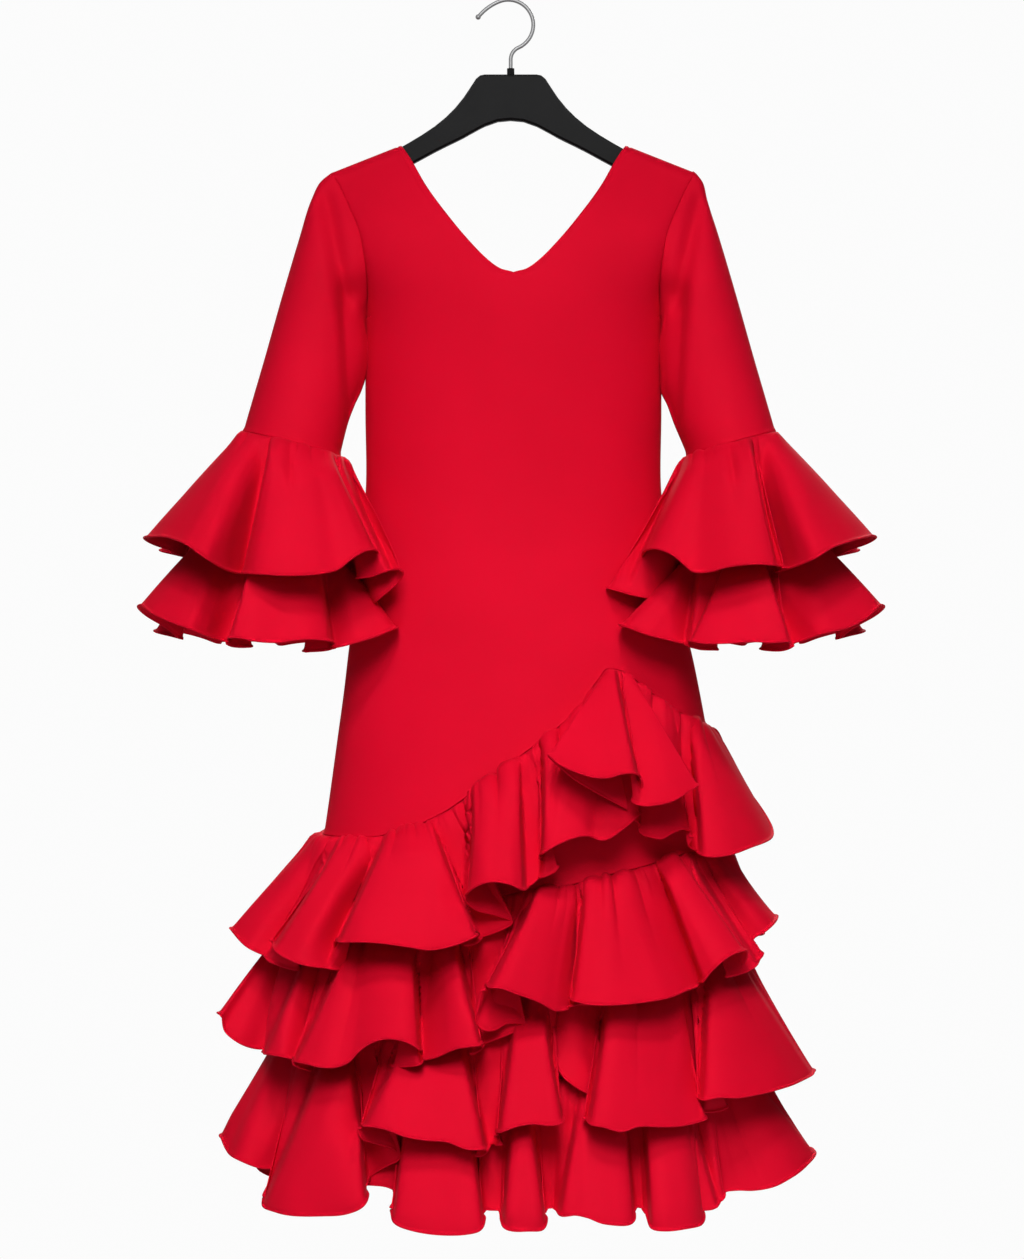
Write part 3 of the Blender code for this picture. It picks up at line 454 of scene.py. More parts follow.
# Soft ridges and troughs, placed as they are seen from the front: from x and level, to x
# and level, how far they stand out, or in where it is negative, and how wide the line is on its
# left and right.
CREASES = {
    "tier_a": [
        (-205, -920, -279, -1009, 9, 19, 13), (-160, -916, -218, -1009, 10, 17, 15),
        (173, -767, 178, -829, -7, 4, 5), (187, -773, 191, -824, -6, 4, 5),
        (52, -792, 44, -862, -7, 6, 6), (95, -851, 86, -900, -6, 9, 9),
    ],
    "tier_b": [
        (-246, -1050, -289, -1128, 8, 17, 13), (6, -978, -54, -1061, 9, 17, 13),
    ],
    "tier_c": [(-229, -1164, -292, -1279, 10, 22, 15)],
    "sleeve_left": [
        (-200, -219, -181, -318, -10, 10, 10), (-183, -318, -175, -464, -12, 6, 28),
    ],
    "sleeve_right": [
        (201, -219, 179, -322, -11, 10, 10), (184, -318, 176, -464, -12, 28, 6),
    ],
    "ruffle_left_upper": [
        (-242, -469, -239, -503, -7, 5, 5), (-259, -473, -264, -497, -5, 5, 5),
        (-266, -486, -330, -598, 17, 37, 17),
    ],
    "ruffle_left_lower": [(-294, -626, -339, -683, 12, 26, 14)],
    "ruffle_right_upper": [
        (233, -469, 237, -505, -7, 5, 5), (262, -486, 326, -598, 17, 17, 37),
    ],
    "ruffle_right_lower": [(287, -626, 334, -683, 12, 14, 26)],
}
# Overlapping edges of the panels between folds, in the same columns: where the height is positive
# the left side stands out over the right, where it is negative the right side over the left.
EDGES = {
    "tier_a": [
        (-188, -912, -254, -1016, -15, 26, 48), (-136, -903, -188, -1016, -17, 30, 54),
        (-86, -892, -38, -1008, 15, 54, 22), (-37, -856, -49, -968, -13, 19, 26),
        (5, -824, 13, -957, 13, 26, 15), (37, -810, 32, -922, -12, 13, 32),
        (195, -778, 204, -916, -13, 19, 43),
    ],
    "tier_b": [
        (-227, -1041, -267, -1134, -14, 24, 32), (-179, -1032, -232, -1139, -14, 24, 48),
        (-107, -1029, -99, -1134, 14, 43, 19), (-58, -1029, -33, -1128, 14, 30, 15),
        (26, -966, -28, -1069, -14, 26, 37), (82, -953, 64, -1080, -10, 10, 43),
        (160, -935, 206, -1058, -15, 26, 39), (192, -929, 259, -1029, 8, 43, 15),
    ],
    "tier_c": [
        (-207, -1153, -264, -1287, -15, 28, 48), (-171, -1159, -156, -1288, 14, 48, 19),
        (-127, -1149, -162, -1216, -14, 24, 48), (-50, -1143, -28, -1236, 14, 39, 15),
        (0, -1121, -15, -1223, -13, 15, 24), (38, -1121, 55, -1207, 14, 24, 19),
        (104, -1089, 84, -1203, -14, 24, 43), (212, -1078, 205, -1177, -12, 17, 48),
        (261, -1062, 318, -1147, 6, 32, 6),
    ],
    "tier_d": [
        (-117, -1229, -127, -1305, -12, 15, 43), (-41, -1238, -31, -1313, 13, 39, 15),
        (-2, -1229, -9, -1302, -13, 15, 19), (22, -1218, 35, -1307, 13, 19, 15),
        (67, -1218, 52, -1302, -12, 15, 32), (123, -1218, 132, -1307, 11, 28, 9),
        (144, -1218, 149, -1307, -10, 9, 28), (197, -1218, 220, -1294, 10, 32, 15),
    ],
    "ruffle_left_upper": [
        (-259, -477, -291, -618, -16, 26, 76), (-181, -505, -136, -605, 12, 48, 17),
    ],
    "ruffle_left_lower": [
        (-284, -618, -305, -689, -18, 26, 43), (-205, -619, -195, -691, 13, 43, 15),
    ],
    "ruffle_right_upper": [
        (256, -477, 287, -618, 16, 76, 26), (186, -501, 140, -598, -12, 17, 48),
    ],
    "ruffle_right_lower": [
        (276, -618, 300, -689, 18, 43, 26), (200, -622, 190, -689, -12, 13, 43),
    ],
    "apex_flounce": [(112, -726, 134, -832, 9, 37, 17)],
}


# ---------- curves and surfaces
def mix(a, b, share):
    return a + (b - a) * share


def eased(t):
    """From 0 to 1 as t is, and level at both ends."""
    return t * t * (3 - 2 * t)


def curve(t, start, end, leave, arrive):
    """Between two values, with these slopes at them, each times the distance between the two."""
    first = (1 + 2 * t) * (1 - t) ** 2 * start + t * (1 - t) ** 2 * leave
    return first + t * t * (3 - 2 * t) * end - t * t * (1 - t) * arrive


def bell(distance, width):
    """1 at no distance, fading softly over a width on both sides."""
    return np.exp(-((distance / width) ** 2))


def smooth(rows, column, level):
    """A table's column at each level, by a curve that never overshoots its rows."""
    rows = sorted(rows)
    xs = np.array([row[0] for row in rows], float)
    ys = np.array([row[column] for row in rows], float)
    step = np.diff(xs)
    slope = np.diff(ys) / step
    bend = np.zeros(len(xs))
    bend[0], bend[-1] = slope[0], slope[-1]
    for i in range(1, len(xs) - 1):
        if slope[i - 1] * slope[i] > 0:
            bend[i] = 2 * slope[i - 1] * slope[i] / (slope[i - 1] + slope[i])
    level = np.clip(np.asarray(level, float), xs[0], xs[-1])
    i = np.clip(np.searchsorted(xs, level, side="right") - 1, 0, len(step) - 1)
    t = (level - xs[i]) / step[i]
    return curve(t, ys[i], ys[i + 1], step[i] * bend[i], step[i] * bend[i + 1])


def slopes(points, step):
    """The slopes at each point of the smooth curve through points that are these steps apart."""
    step = step.reshape(-1, *[1] * (points.ndim - 1))
    slope = np.diff(points, axis=0) / step
    slope = np.concatenate([slope[:1], slope, slope[-1:]])
    before, after = np.concatenate([step[:1], step]), np.concatenate([step, step[-1:]])
    return (slope[1:] * before + slope[:-1] * after) / (before + after)


def seam_level(seam, at):
    return smooth(seam, 1, (np.asarray(at, float) + 90) % 360 - 90)


def body_width(level):
    """The body's half width at a level, and how far its middle is to +X there."""
    left, right = smooth(GIRTH, 1, level), smooth(GIRTH, 2, level)
    return (left + right) / 2, (right - left) / 2


def body_depth(in_front, level):
    return np.where(in_front, smooth(GIRTH, 3, level), smooth(GIRTH, 4, level))


def oval_point(at, out, level, x, y, half, deep):
    """A point this far out from an oval round x and y, at an angle."""
    turn = np.radians(at)
    return np.stack(
        [x + (half + out) * np.sin(turn), y - (deep + out) * np.cos(turn), level + 0 * half], -1
    )


def skirt_point(at, out, level):
    """A point out from the foundation's cloth, at an angle and a level."""
    half, shift = body_width(level)
    deep = body_depth(np.cos(np.radians(at)) > 0, level)
    return oval_point(at, out, level, shift, 0, half, deep)


def cuff_point(at, out, level, slimmer):
    """The same round the sleeve at -X."""
    middle, forward, half, deep = (smooth(CUFF_GIRTH, column, level) for column in (1, 2, 3, 4))
    return oval_point(at, out, level, middle + slimmer / 2, forward, half - slimmer / 2, deep)


def mirrored(points):
    return points * (-1, 1, 1) + (2 * MIDDLE, 0, 0)


SIDES = (("left", np.array, 0), ("right", mirrored, RIGHT_SLIMMER))


# ---------- forms of the bodice and sleeves
def armhole_depth(level):
    share = np.clip((level - SHOULDER_TIP[1]) / (UNDERARM - SHOULDER_TIP[1]), 0, 1)
    return ARMHOLE_DEPTH * np.sin(math.pi * share) ** ARMHOLE_POWER


def shoulder_level(x):
    rise = (NECK_POINT[1] - SHOULDER_TIP[1]) / (SHOULDER_TIP[0] - NECK_POINT[0])
    return NECK_POINT[1] - (np.abs(x - MIDDLE) - NECK_POINT[0]) * rise


def bodice_depth(x, level, side):
    """How far the bodice stands off the plane of its shoulder seams, in front (3) or behind (4)."""
    half, shift = body_width(level)
    on_arm = level >= UNDERARM
    half = np.where(on_arm, smooth(ARMHOLE, 1, level), half)
    shift = np.where(on_arm, MIDDLE, shift)
    edge = np.where(on_arm, armhole_depth(level), 0)
    across = np.clip(np.abs(x - shift) / half, 0, 1)
    soft = sum(armhole_depth(level + step) for step in SOFT_STEPS) / len(SOFT_STEPS)
    round_part = np.sqrt(1 - across**2)
    full = smooth(GIRTH, side, level) * round_part + soft * (1 - round_part)
    full = full + (edge - soft) * across**EDGE_POWER
    below = np.clip(shoulder_level(x) - level, 0, None)
    ridge = RIDGE * np.sqrt(1 - (1 - np.clip(below / RIDGE, 0, 1)) ** 2)
    filled = np.clip(below / ROLL, 0, 1)
    filled = filled * (2 - filled)
    return np.where(below < ROLL, ridge + np.clip(full - RIDGE, 0, None) * filled, full)


def bodice_half(hand, side):
    """One half of the front (3) or back (4), from the shoulder seam to the first tier's seam."""
    neck, lowest = (1, -2) if side == 3 else (2, -1)  # the neckline's column and its last row
    shares = np.sin(np.radians(SIDE_ANGLES))
    grid = []
    for row in YOKE_ROWS:
        outer = mix(SHOULDER_TIP[1], UNDERARM, row)
        inner = mix(NECK_POINT[1], NECKLINE[lowest][0], row)
        reach = mix(smooth(NECKLINE, neck, inner), smooth(ARMHOLE, 1, outer), shares)
        grid.append((MIDDLE + hand * reach, mix(inner, outer, shares)))
    top_level = grid[-1][1]
    angles = hand * np.array(SIDE_ANGLES, float)
    if side == 4:
        angles = 180 - angles
    last = skirt_point(angles, 0, seam_level(SEAM_A, angles))
    for row in LOWER_ROWS:
        level = mix(top_level, last[:, 2], row)
        half, shift = body_width(level)
        grid.append((np.where(row == 1, last[:, 0], shift + hand * half * shares), level))
    facing_y = -1 if side == 3 else 1
    points = []
    for x, level in grid:
        depth = np.maximum(bodice_depth(x, level, side), SEAM_HALF)
        points.append(np.stack([x, facing_y * depth, level], -1))
    return np.stack(points)


def sleeve_rings(slimmer):
    """Rings of the sleeve at -X, from the armhole to the lower ruffle, on the bodice's own rows."""
    along = np.array(YOKE_ROWS + YOKE_ROWS[-2:0:-1], float)
    turns = np.arccos(1 - 2 * along)
    hand = np.where(np.arange(len(along)) < len(YOKE_ROWS), -1, 1)  # in front, then behind
    level = mix(SHOULDER_TIP[1], UNDERARM, along)
    x = MIDDLE - smooth(ARMHOLE, 1, level)
    depth = np.where(hand < 0, bodice_depth(x, level, 3), bodice_depth(x, level, 4))
    armhole = np.stack([x - mix(*ARMHOLE_GAP, along**3), hand * depth, level], -1)
    across = hand * np.sin(turns)
    oval = mix(armhole[0], armhole[len(YOKE_ROWS) - 1], along[:, None])
    oval[:, 1] += across * ARMHOLE_DEPTH
    rings = [armhole]
    for i, (outer_x, outer, inner_x, inner, middle, deep) in enumerate(SLEEVE):
        trimmed = outer_x + slimmer * min(1, (i + 1) / 2)  # wholly from the second ring on
        nearer = inner_x + (RIGHT_NEARER * slimmer if i > 2 else 0)  # from the fourth ring on
        x, level = mix(trimmed, nearer, along), mix(outer, inner, along)
        kept = max(0.0, ARMHOLE_SHARE - ARMHOLE_FADE * i)
        rings.append(np.stack([x, middle + deep * across, level], -1) + (armhole - oval) * kept)
    at = np.degrees(-hand * turns) - 90
    for seam, rise in CUFF_ENDS:
        rings.append(cuff_point(at, 0, seam - rise * np.sin(np.radians(at)), slimmer))
    return np.stack(rings)


# ---------- cloth
def lengths(points, axis):
    """How far each point is along its row or column."""
    step = np.linalg.norm(np.diff(points, axis=axis), axis=-1)
    first = np.zeros_like(np.take(step, [0], axis=axis))
    return np.cumsum(np.concatenate([first, step], axis=axis), axis=axis)


def edge_distance(grid, *edges):
    """How far each point is from the nearest of the grid's named edges."""
    down, across = lengths(grid, 0), lengths(grid, 1)
    found = {
        "top": down,
        "bottom": down[-1:] - down,
        "first": across,
        "last": across[:, -1:] - across,
    }
    return np.minimum.reduce([found[edge] for edge in edges])


def joined(grids, closed):
    """Points and four-sided faces of one or more grids, welded where they meet."""
    points = np.concatenate([grid.reshape(-1, 3) for grid in grids])
    faces, start = [], 0
    for grid in grids:
        rows, columns = grid.shape[:2]
        index = start + np.arange(rows * columns).reshape(rows, columns)
        start += rows * columns
        left = index if closed else index[:, :-1]
        right = np.roll(index, -1, axis=1) if closed else index[:, 1:]
        corners = [left[:-1], left[1:], right[1:], right[:-1]]
        faces.append(np.stack(corners, -1).reshape(-1, 4))
    _, first, index = np.unique(
        np.round(points, WELD_DIGITS), axis=0, return_index=True, return_inverse=True
    )
    faces = index.reshape(-1)[np.concatenate(faces)]
    return points[first], faces, first


def outward(points, faces):
    """A unit vector out of the cloth at each point."""
    a, b, c, d = (points[faces[:, i]] for i in range(4))
    across = np.cross(c - a, d - b)
    found = np.zeros_like(points)
    for i in range(4):
        np.add.at(found, faces[:, i], across)
    return found / np.linalg.norm(found, axis=1)[:, None].clip(1e-12)


def open_edges(faces):
    """Starts and ends of the edges that only one face has."""
    starts = faces.ravel()
    ends = np.roll(faces, -1, axis=1).ravel()
    keep = starts != ends
    starts, ends = starts[keep], ends[keep]
    size = faces.max() + 1
    found = starts.astype(np.int64) * size + ends
    twins = ends.astype(np.int64) * size + starts
    alone = ~np.isin(found, twins)
    return starts[alone], ends[alone]


def shell(name, grids, raised, closed, half=None):
    """A node's cloth, as a closed wall that stands in for its solid. Raised and half say how far
    each point stands out, and half the thickness there."""
    half = half or [np.full(value.shape, WALL / 2) for value in raised]
    points, faces, first = joined(grids, closed)
    raised = np.concatenate([value.ravel() for value in raised])[first]
    half = np.concatenate([value.ravel() for value in half])[first][:, None]
    points = points + outward(points, faces) * raised[:, None]
    out = outward(points, faces)
    count = len(points)
    starts, ends = open_edges(faces)
    edge = np.stack([ends, starts, starts + count, ends + count], -1)
    walls = np.concatenate([faces, faces[:, ::-1] + count, edge]).tolist()
    every = np.concatenate([points + out * half, points - out * half])
    return piece(name + "_cloth", every, walls, name)


def added(name, data):
    made = bpy.data.objects.new(name, data)
    bpy.context.scene.collection.objects.link(made)
    return made


def piece(name, points, faces, node):
    """A visible piece that rides on the one body and stands in for a node. Points are in mm."""
    data = bpy.data.meshes.new(name)
    faces = [list(dict.fromkeys(face)) for face in faces]
    data.from_pydata((points * MM).tolist(), [], [face for face in faces if len(face) > 2])
    data.update()
    data.shade_smooth()
    made = added(name, data)
    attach(made, "root")
    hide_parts(node)
    return made


def hem_half(below):
    """Half the cloth's thickness by the distance from its hem: a narrow roll, then plain cloth."""
    middle = HEM_WIDTH / 2
    round_part = np.sqrt(np.clip(1 - ((below - middle) / middle) ** 2, 0, None))
    return WALL / 2 + np.where(below < HEM_WIDTH, (HEM_HALF - WALL / 2) * round_part, 0)


def tucked(distance, reach, width):
    """How far the cloth turns in, by the distance from a sewn edge."""
    share = np.clip(1 - distance / width, 0, 1)
    return -reach * share**2


def lip(distance):
    """How far the cloth stands out just above a ruffle's seam."""
    return LIP_HEIGHT * bell(distance, LIP_WIDTH)


# ---------- hems of the ruffles
def leaned(at, lean):
    """The root's angle of a fold that is at this angle at the hem."""
    return at + lean * math.sin(2 * math.radians(at))


def back_hem(turns):
    """Columns along the folds behind: angle, curl's offset, reach, level and root angle."""
    found = []
    for (at, out, level, curl, kind, root), end in zip(turns[:-1], turns[1:]):
        width, curl = end[0] - at, curl * CURL_GAIN
        for t in np.arange(HALF_WAVE) / HALF_WAVE:
            aside = curl * math.sin(2 * math.pi * t) / (2 * math.pi)
            aside += kind * BROAD * math.sin(math.pi * t)
            drop = t - ROUND_DROP * math.sin(4 * math.pi * t) / (4 * math.pi)
            drop = mix(eased(t), drop, min(1, curl / ROUND_CURL))
            reach, height = mix(out, end[1], eased(t)), mix(level, end[2], drop)
            found.append((at + width * t, width * aside, reach, height, mix(root, end[5], t)))
    return np.array(found)


def seen(points):
    """Where points seem to be in the plane y = 0, to the eye in front, and their scale there."""
    nearer = EYE / (EYE + points[..., 1])
    return points[..., 0] * nearer, EYE_LEVEL + (points[..., 2] - EYE_LEVEL) * nearer, nearer


def angle_seen(x, place):
    """The angle from -90 to 90 at which a place on the garment is seen at x."""
    low, high = np.full(np.shape(x), -90.0), np.full(np.shape(x), 90.0)
    for _ in range(HALVINGS):
        middle = (low + high) / 2
        short = seen(place(middle))[0] < x
        low, high = np.where(short, middle, low), np.where(short, high, middle)
    return (low + high) / 2


def drawn_hem(rows, surface, seam, first=None, last=None):
    """Columns along a hem given as it is seen: angle, reach and level, then the root angle. The
    first is a root angle where the rows give none, and the last is one more column to end at."""
    x, seen_level, out = (np.array([row[i] for row in rows], float) for i in range(3))
    level = seen_level
    for _ in range(HEM_ROUNDS):
        at = angle_seen(x, lambda turn: surface(turn, out, level))
        nearer = seen(surface(at, out, level))[2]
        level = EYE_LEVEL + (seen_level - EYE_LEVEL) / nearer
    given = [i for i, row in enumerate(rows) if len(row) > 3]
    root_x = np.array([rows[i][3] for i in given], float)
    roots = list(angle_seen(root_x, lambda turn: surface(turn, 0, seam(turn))))
    if 0 not in given:
        given, roots = [0] + given, [first] + roots
    nodes = np.stack([at, out, level], -1)
    if last is not None:
        nodes = np.concatenate([nodes, [last[:3]]])
        given, roots = given + [len(rows)], roots + [last[3]]
    step = np.linalg.norm(np.diff(surface(*nodes.T), axis=0), axis=1)
    along = np.concatenate([[0], np.cumsum(step)])
    bend = slopes(nodes, step)
    found = []
    for i, size in enumerate(step):
        count = max(3, round(size / HEM_STEP))
        for t in np.arange(count) / count:
            place = curve(t, nodes[i], nodes[i + 1], size * bend[i], size * bend[i + 1])
            found.append((*place, np.interp(along[i] + t * size, along[given], roots)))
    if last is None:
        found.append((*nodes[-1], roots[-1]))
    return np.array(found)


def whole_hem(name, surface, seam, lean, mirror=False):
    """Columns round a ruffle: its drawn hem in front, then its own folds round the back."""
    rows = HEMS[name]
    if mirror:
        rows = [[2 * MIDDLE - v if i in (0, 3) else v for i, v in enumerate(row)] for row in rows]
    turns = BACK_TURNS[name]
    kinds = [(-1) ** (len(turns) - i) for i in range(len(turns))]  # 1 at a crest, -1 at a hollow
    turns = [(*turn, kind, leaned(turn[0], lean)) for turn, kind in zip(turns, kinds)]
    last = (*turns[0][:3], turns[0][5])
    front = drawn_hem(rows, surface, seam, leaned(FIRST_AT[name], lean), last)
    at, out, level, root = front[0]
    back = back_hem(turns + [(at + 360, out, level, 0, 1, root + 360)])
    return np.concatenate([np.insert(front, 1, 0, axis=1), back])


# ---------- the ruffles' cloth
def ruffle_grid(columns, surface, seam, spread, lift, upper=None):
    """Rows of points from a ruffle's seam to its hem. Well above the hem the upper reach holds."""
    at, curl, out, level, root = columns.T
    upper = out if upper is None else upper
    top = seam(root)
    length = np.linalg.norm(surface(at, out, level) - surface(root, lift, top), axis=-1)
    shares = np.linspace(0, 1, RUFFLE_ROWS) ** ROWS_CROWD
    rows = [share * (1 - 2 * HEM_STEPS[0] / length) for share in shares]
    v = np.stack(rows + [1 - step / length for step in HEM_STEPS])
    angle = mix(root, at, v**LEAN_POWER) + curl * v**CURL_POWER
    reach = mix(lift, mix(upper, out, v**PLAIN_POWER), v**spread)
    height = mix(top, level, v)
    x = seen(surface(angle, reach, height))[0]
    straight = angle_seen(mix(x[:1], x[-1:], v), lambda turn: surface(turn, reach, height))
    widest = np.maximum(np.abs(angle), np.maximum(np.abs(root), np.abs(at)))
    front = eased(np.clip((STRAIGHT_END - widest) / STRAIGHT_FADE, 0, 1))
    return surface(mix(angle, straight, front), reach, height), reach


def gathered(grid, sizes, seed, closed):
    """Uneven puckers with sharp valleys between them, which run down from a ruffle's seam."""
    top = np.concatenate([grid[0], grid[0][:1]]) if closed else grid[0]
    along = lengths(top, 0)
    total = along[-1]
    along = along[: grid.shape[1]]
    below = lengths(grid, 0)
    raised = tucked(below, *RUFFLE_TUCK)
    for i, (spacing, height, fade) in enumerate(sizes):
        count = max(2, round(total / spacing))
        seeds = [100 * seed + 10 * i + j for j in range(3)]
        width, tall, long = (np.random.default_rng(chance).random(count) for chance in seeds)
        ends = np.cumsum(GATHER_WIDTH + width)
        ends *= total / ends[-1]
        cell = np.clip(np.searchsorted(ends, along, side="right"), 0, count - 1)
        share = ((ends[cell] - along) / np.diff(ends, prepend=0)[cell]).clip(0, 1)
        pucker = height * (GATHER_HEIGHT[0] + GATHER_HEIGHT[1] * tall[cell])
        pucker = pucker * np.sin(math.pi * share) ** GATHER_ROUND
        fades = fade * (GATHER_LONG[0] + GATHER_LONG[1] * long[cell] ** 2)
        rise = 1 - np.exp(-below / GATHER_START)
        raised += pucker * rise * np.exp(-((below / fades) ** GATHER_FADE))
    return raised


def facing(grid, closed, both=False):
    """How squarely each point faces the front, or the front or the back, from 0 to 1."""
    wide = np.concatenate([grid[:, -1:], grid, grid[:, :1]], axis=1) if closed else grid
    across = np.gradient(wide, axis=1)
    across = across[:, 1:-1] if closed else across
    out = np.cross(np.gradient(grid, axis=0), across)
    forward = -out[..., 1] / np.linalg.norm(out, axis=-1).clip(1e-9)
    forward = np.abs(forward) if both else forward
    return eased(np.clip(forward / FACING_FULL, 0, 1))


def beside(grid, rows):
    """For each crease: its height, how far left of it each point is, its width on that side, and
    how near its run each point is, up to 1."""
    x, level, _ = seen(grid)
    for row in rows:
        fold = dict(zip(CREASE, row))
        run = np.array([fold["x2"] - fold["x1"], fold["z2"] - fold["z1"]], float)
        length = np.linalg.norm(run)
        run /= length
        along = (x - fold["x1"]) * run[0] + (level - fold["z1"]) * run[1]
        left = (x - fold["x1"]) * run[1] - (level - fold["z1"]) * run[0]
        past = np.clip(np.abs(along - length / 2) - length / 2, 0, None)
        width = np.where(left < 0, fold["right"], fold["left"])
        yield fold["height"], left, width, bell(past, CREASE_END)


def creased(grid, rows):
    """How far each point of a grid is brought forward by its soft creases."""
    raised = np.zeros(grid.shape[:2])
    for height, left, width, near in beside(grid, rows):
        raised += near * height * bell(left, width)
    return raised


def overlapped(grid, rows, low):
    """How far points come forward at a panel's edge that lies over the next, which dives under."""
    raised = np.zeros(grid.shape[:2])
    for height, left, width, near in beside(grid, rows):
        side = np.tanh(left / EDGE_TURN) * np.sign(height)
        over = OVER * bell(left, width)
        dive = DIVE * low * np.clip(1 - np.abs(left) / (DIVE_SPREAD * width), 0, 1) ** DIVE_POWER
        raised += near * abs(height) * side * np.where(side > 0, over, dive)
    return raised


def build_ruffle(name, grid, reach, sizes, seed, closed=True, calm=1):
    """A ruffle's cloth, from its plain grid. Calm is the share that is left of its puckers."""
    below = lengths(grid, 0)
    start = np.clip(below / CREASE_START, 0, 1)
    low = eased(np.clip(below / below[-1] / DIVE_FADE - 1, 0, 1))
    low = mix(1, DIVE_AT_HEM, low)
    forward = creased(grid, CREASES.get(name, ())) + overlapped(grid, EDGES.get(name, ()), low)
    room = (reach - DIVE_CLEAR).clip(1, None)
    forward = np.where(forward < 0, room * np.tanh(forward / room), forward)
    grid[..., 1] -= forward * facing(grid, closed) * start * (2 - start)
    above = lengths(grid[::-1], 0)[::-1]
    side = SIDE_GATHER + (1 - SIDE_GATHER) * facing(grid, closed, both=True)
    raised = gathered(grid, sizes, seed, closed) * calm * side + HEM_FLARE * bell(above, HEM_RISE)
    return shell(name, [grid], [raised], closed, [hem_half(above)])


def build_tiers():
    made = {}
    tiers = zip(("tier_a", "tier_b", "tier_c", "tier_d"), SEAMS, TIER_LIFTS)
    for seed, (name, seam, lift) in enumerate(tiers, 1):
        edge = lambda at: seam_level(seam, at) - SEAM_GAP
        columns = whole_hem(name, skirt_point, edge, LEAN_SKIRT)
        grid, reach = ruffle_grid(columns, skirt_point, edge, SPREAD_SKIRT, lift)
        calm = flounce_calm(columns[:, 4]) if name == "tier_a" else 1
        made[name] = build_ruffle(name, grid, reach, GATHERS, seed, calm=calm)
    return made


def flounce_calm(root):
    """The first tier's puckers are flatter where the flounce lies over its seam."""
    first, last = FLOUNCE_LIFT[0][0] - CALM_EDGE, FLOUNCE_LIFT[-1][0] + CALM_EDGE
    inside = np.clip(np.minimum(root - first, last - root) / CALM_EDGE, 0, 1)
    return 1 - CALM * inside


def build_flounce():
    edge = lambda at: seam_level(SEAM_A, at) - SEAM_GAP
    columns = drawn_hem(HEMS["apex_flounce"], skirt_point, edge)
    columns = np.insert(columns, 1, 0, axis=1)
    lift = np.interp(columns[:, 4], *np.transpose(FLOUNCE_LIFT))
    upper = np.interp(columns[:, 4], *np.transpose(FLOUNCE_PLAIN))
    grid, reach = ruffle_grid(columns, skirt_point, edge, SPREAD_SKIRT, lift, upper)
    made = build_ruffle("apex_flounce", grid, reach, CUFF_GATHERS, FLOUNCE_SEED, closed=False)
    return {"apex_flounce": made}


def build_sleeve_ruffles():
    made = {}
    for side, place, slimmer in SIDES:
        for row, (level, rise) in CUFF_SEAMS.items():
            name = f"ruffle_{side}_{row}"
            surface = lambda at, out, height: cuff_point(at, out, height, slimmer)
            edge = lambda at: level - rise * np.sin(np.radians(at))
            columns = whole_hem(name, surface, edge, LEAN_CUFF, mirror=side == "right")
            grid, reach = ruffle_grid(columns, surface, edge, SPREAD_CUFF, CUFF_LIFT)
            grid = place(grid)
            if side == "right":
                grid, reach = grid[:, ::-1], reach[:, ::-1]
            made[name] = build_ruffle(name, grid, reach, CUFF_GATHERS, CUFF_SEED + len(made))
    return made


# ---------- bodice, skirt and sleeves
def build_bodice():
    made = {}
    for name, side in (("front", 3), ("back", 4)):
        grids = [bodice_half(hand, side) for hand in (-1, 1)]
        turned = 1 if side == 3 else 0  # this half's columns are turned, so that it faces outward
        grids[turned] = grids[turned][:, ::-1]
        raised, half = [], []
        for i, grid in enumerate(grids):
            seam, neck = ("last", "first") if i == turned else ("first", "last")
            row = np.arange(len(grid))[:, None]
            neck = np.where(row < YOKE_STEPS, edge_distance(grid, neck), FAR)
            start = np.clip(1 - (UNDERARM - grid[..., 2]) / UNDERARM_FADE, 0, 1) * TUCK[1]
            seam = np.where(row <= YOKE_STEPS, FAR, edge_distance(grid, seam) + start)
            height = tucked(np.minimum(edge_distance(grid, "top"), seam), *TUCK)
            height = height + lip(edge_distance(grid, "bottom"))
            groove = NECK_GROOVE * bell(neck - NECK_EDGE, NECK_WIDTH)
            raised.append(height + tucked(neck, *NECK_TUCK) - groove)
            half.append(np.where(neck < NECK_ROLL[1], hem_half(neck + NECK_ROLL[0]), WALL / 2))
        made[name] = shell(name, grids, raised, False, half)
    return made


def build_foundation():
    """The smooth under-skirt. The ruffles are sewn on it, and a band of it shows between them."""
    made = {}
    angles = np.array([-a for a in SIDE_ANGLES] + list(SIDE_ANGLES[-2::-1]), float)
    shares = np.linspace(0, 1, BAND_COUNT + 1)[1:]
    for name, turned, hand in (("skirt_front", angles, -1), ("skirt_back", 180 - angles, 1)):
        seams = [seam_level(seam, turned) for seam in SEAMS]
        rows = [(seams[0] - step, FAR, height) for step, height in TOP_STEPS]
        for upper, lower in zip(seams[:-1], seams[1:]):
            start, end = upper - UNDER_STEPS[-1][0], lower + EDGE_STEPS[1]
            rows += [(mix(start, end, share), EDGE_STEPS[1], 0) for share in shares]
            rows += [(lower + step, step, 0) for step in EDGE_STEPS[2:]]
            rows += [(lower - step, FAR, height) for step, height in UNDER_STEPS]
        levels, above, height = zip(*rows)
        grid = np.stack([skirt_point(turned, 0, level) for level in levels])
        grid[..., 1] = hand * np.maximum(hand * grid[..., 1], SEAM_HALF)
        raised = lip(np.array(above)) + np.array(height)
        side = edge_distance(grid, "first", "last")
        raised = np.broadcast_to(raised[:, None], side.shape)
        raised = np.where(side < TUCK[1], np.minimum(raised, tucked(side, *TUCK)), raised)
        made[name] = shell(name, [grid], [raised], False)
    return made


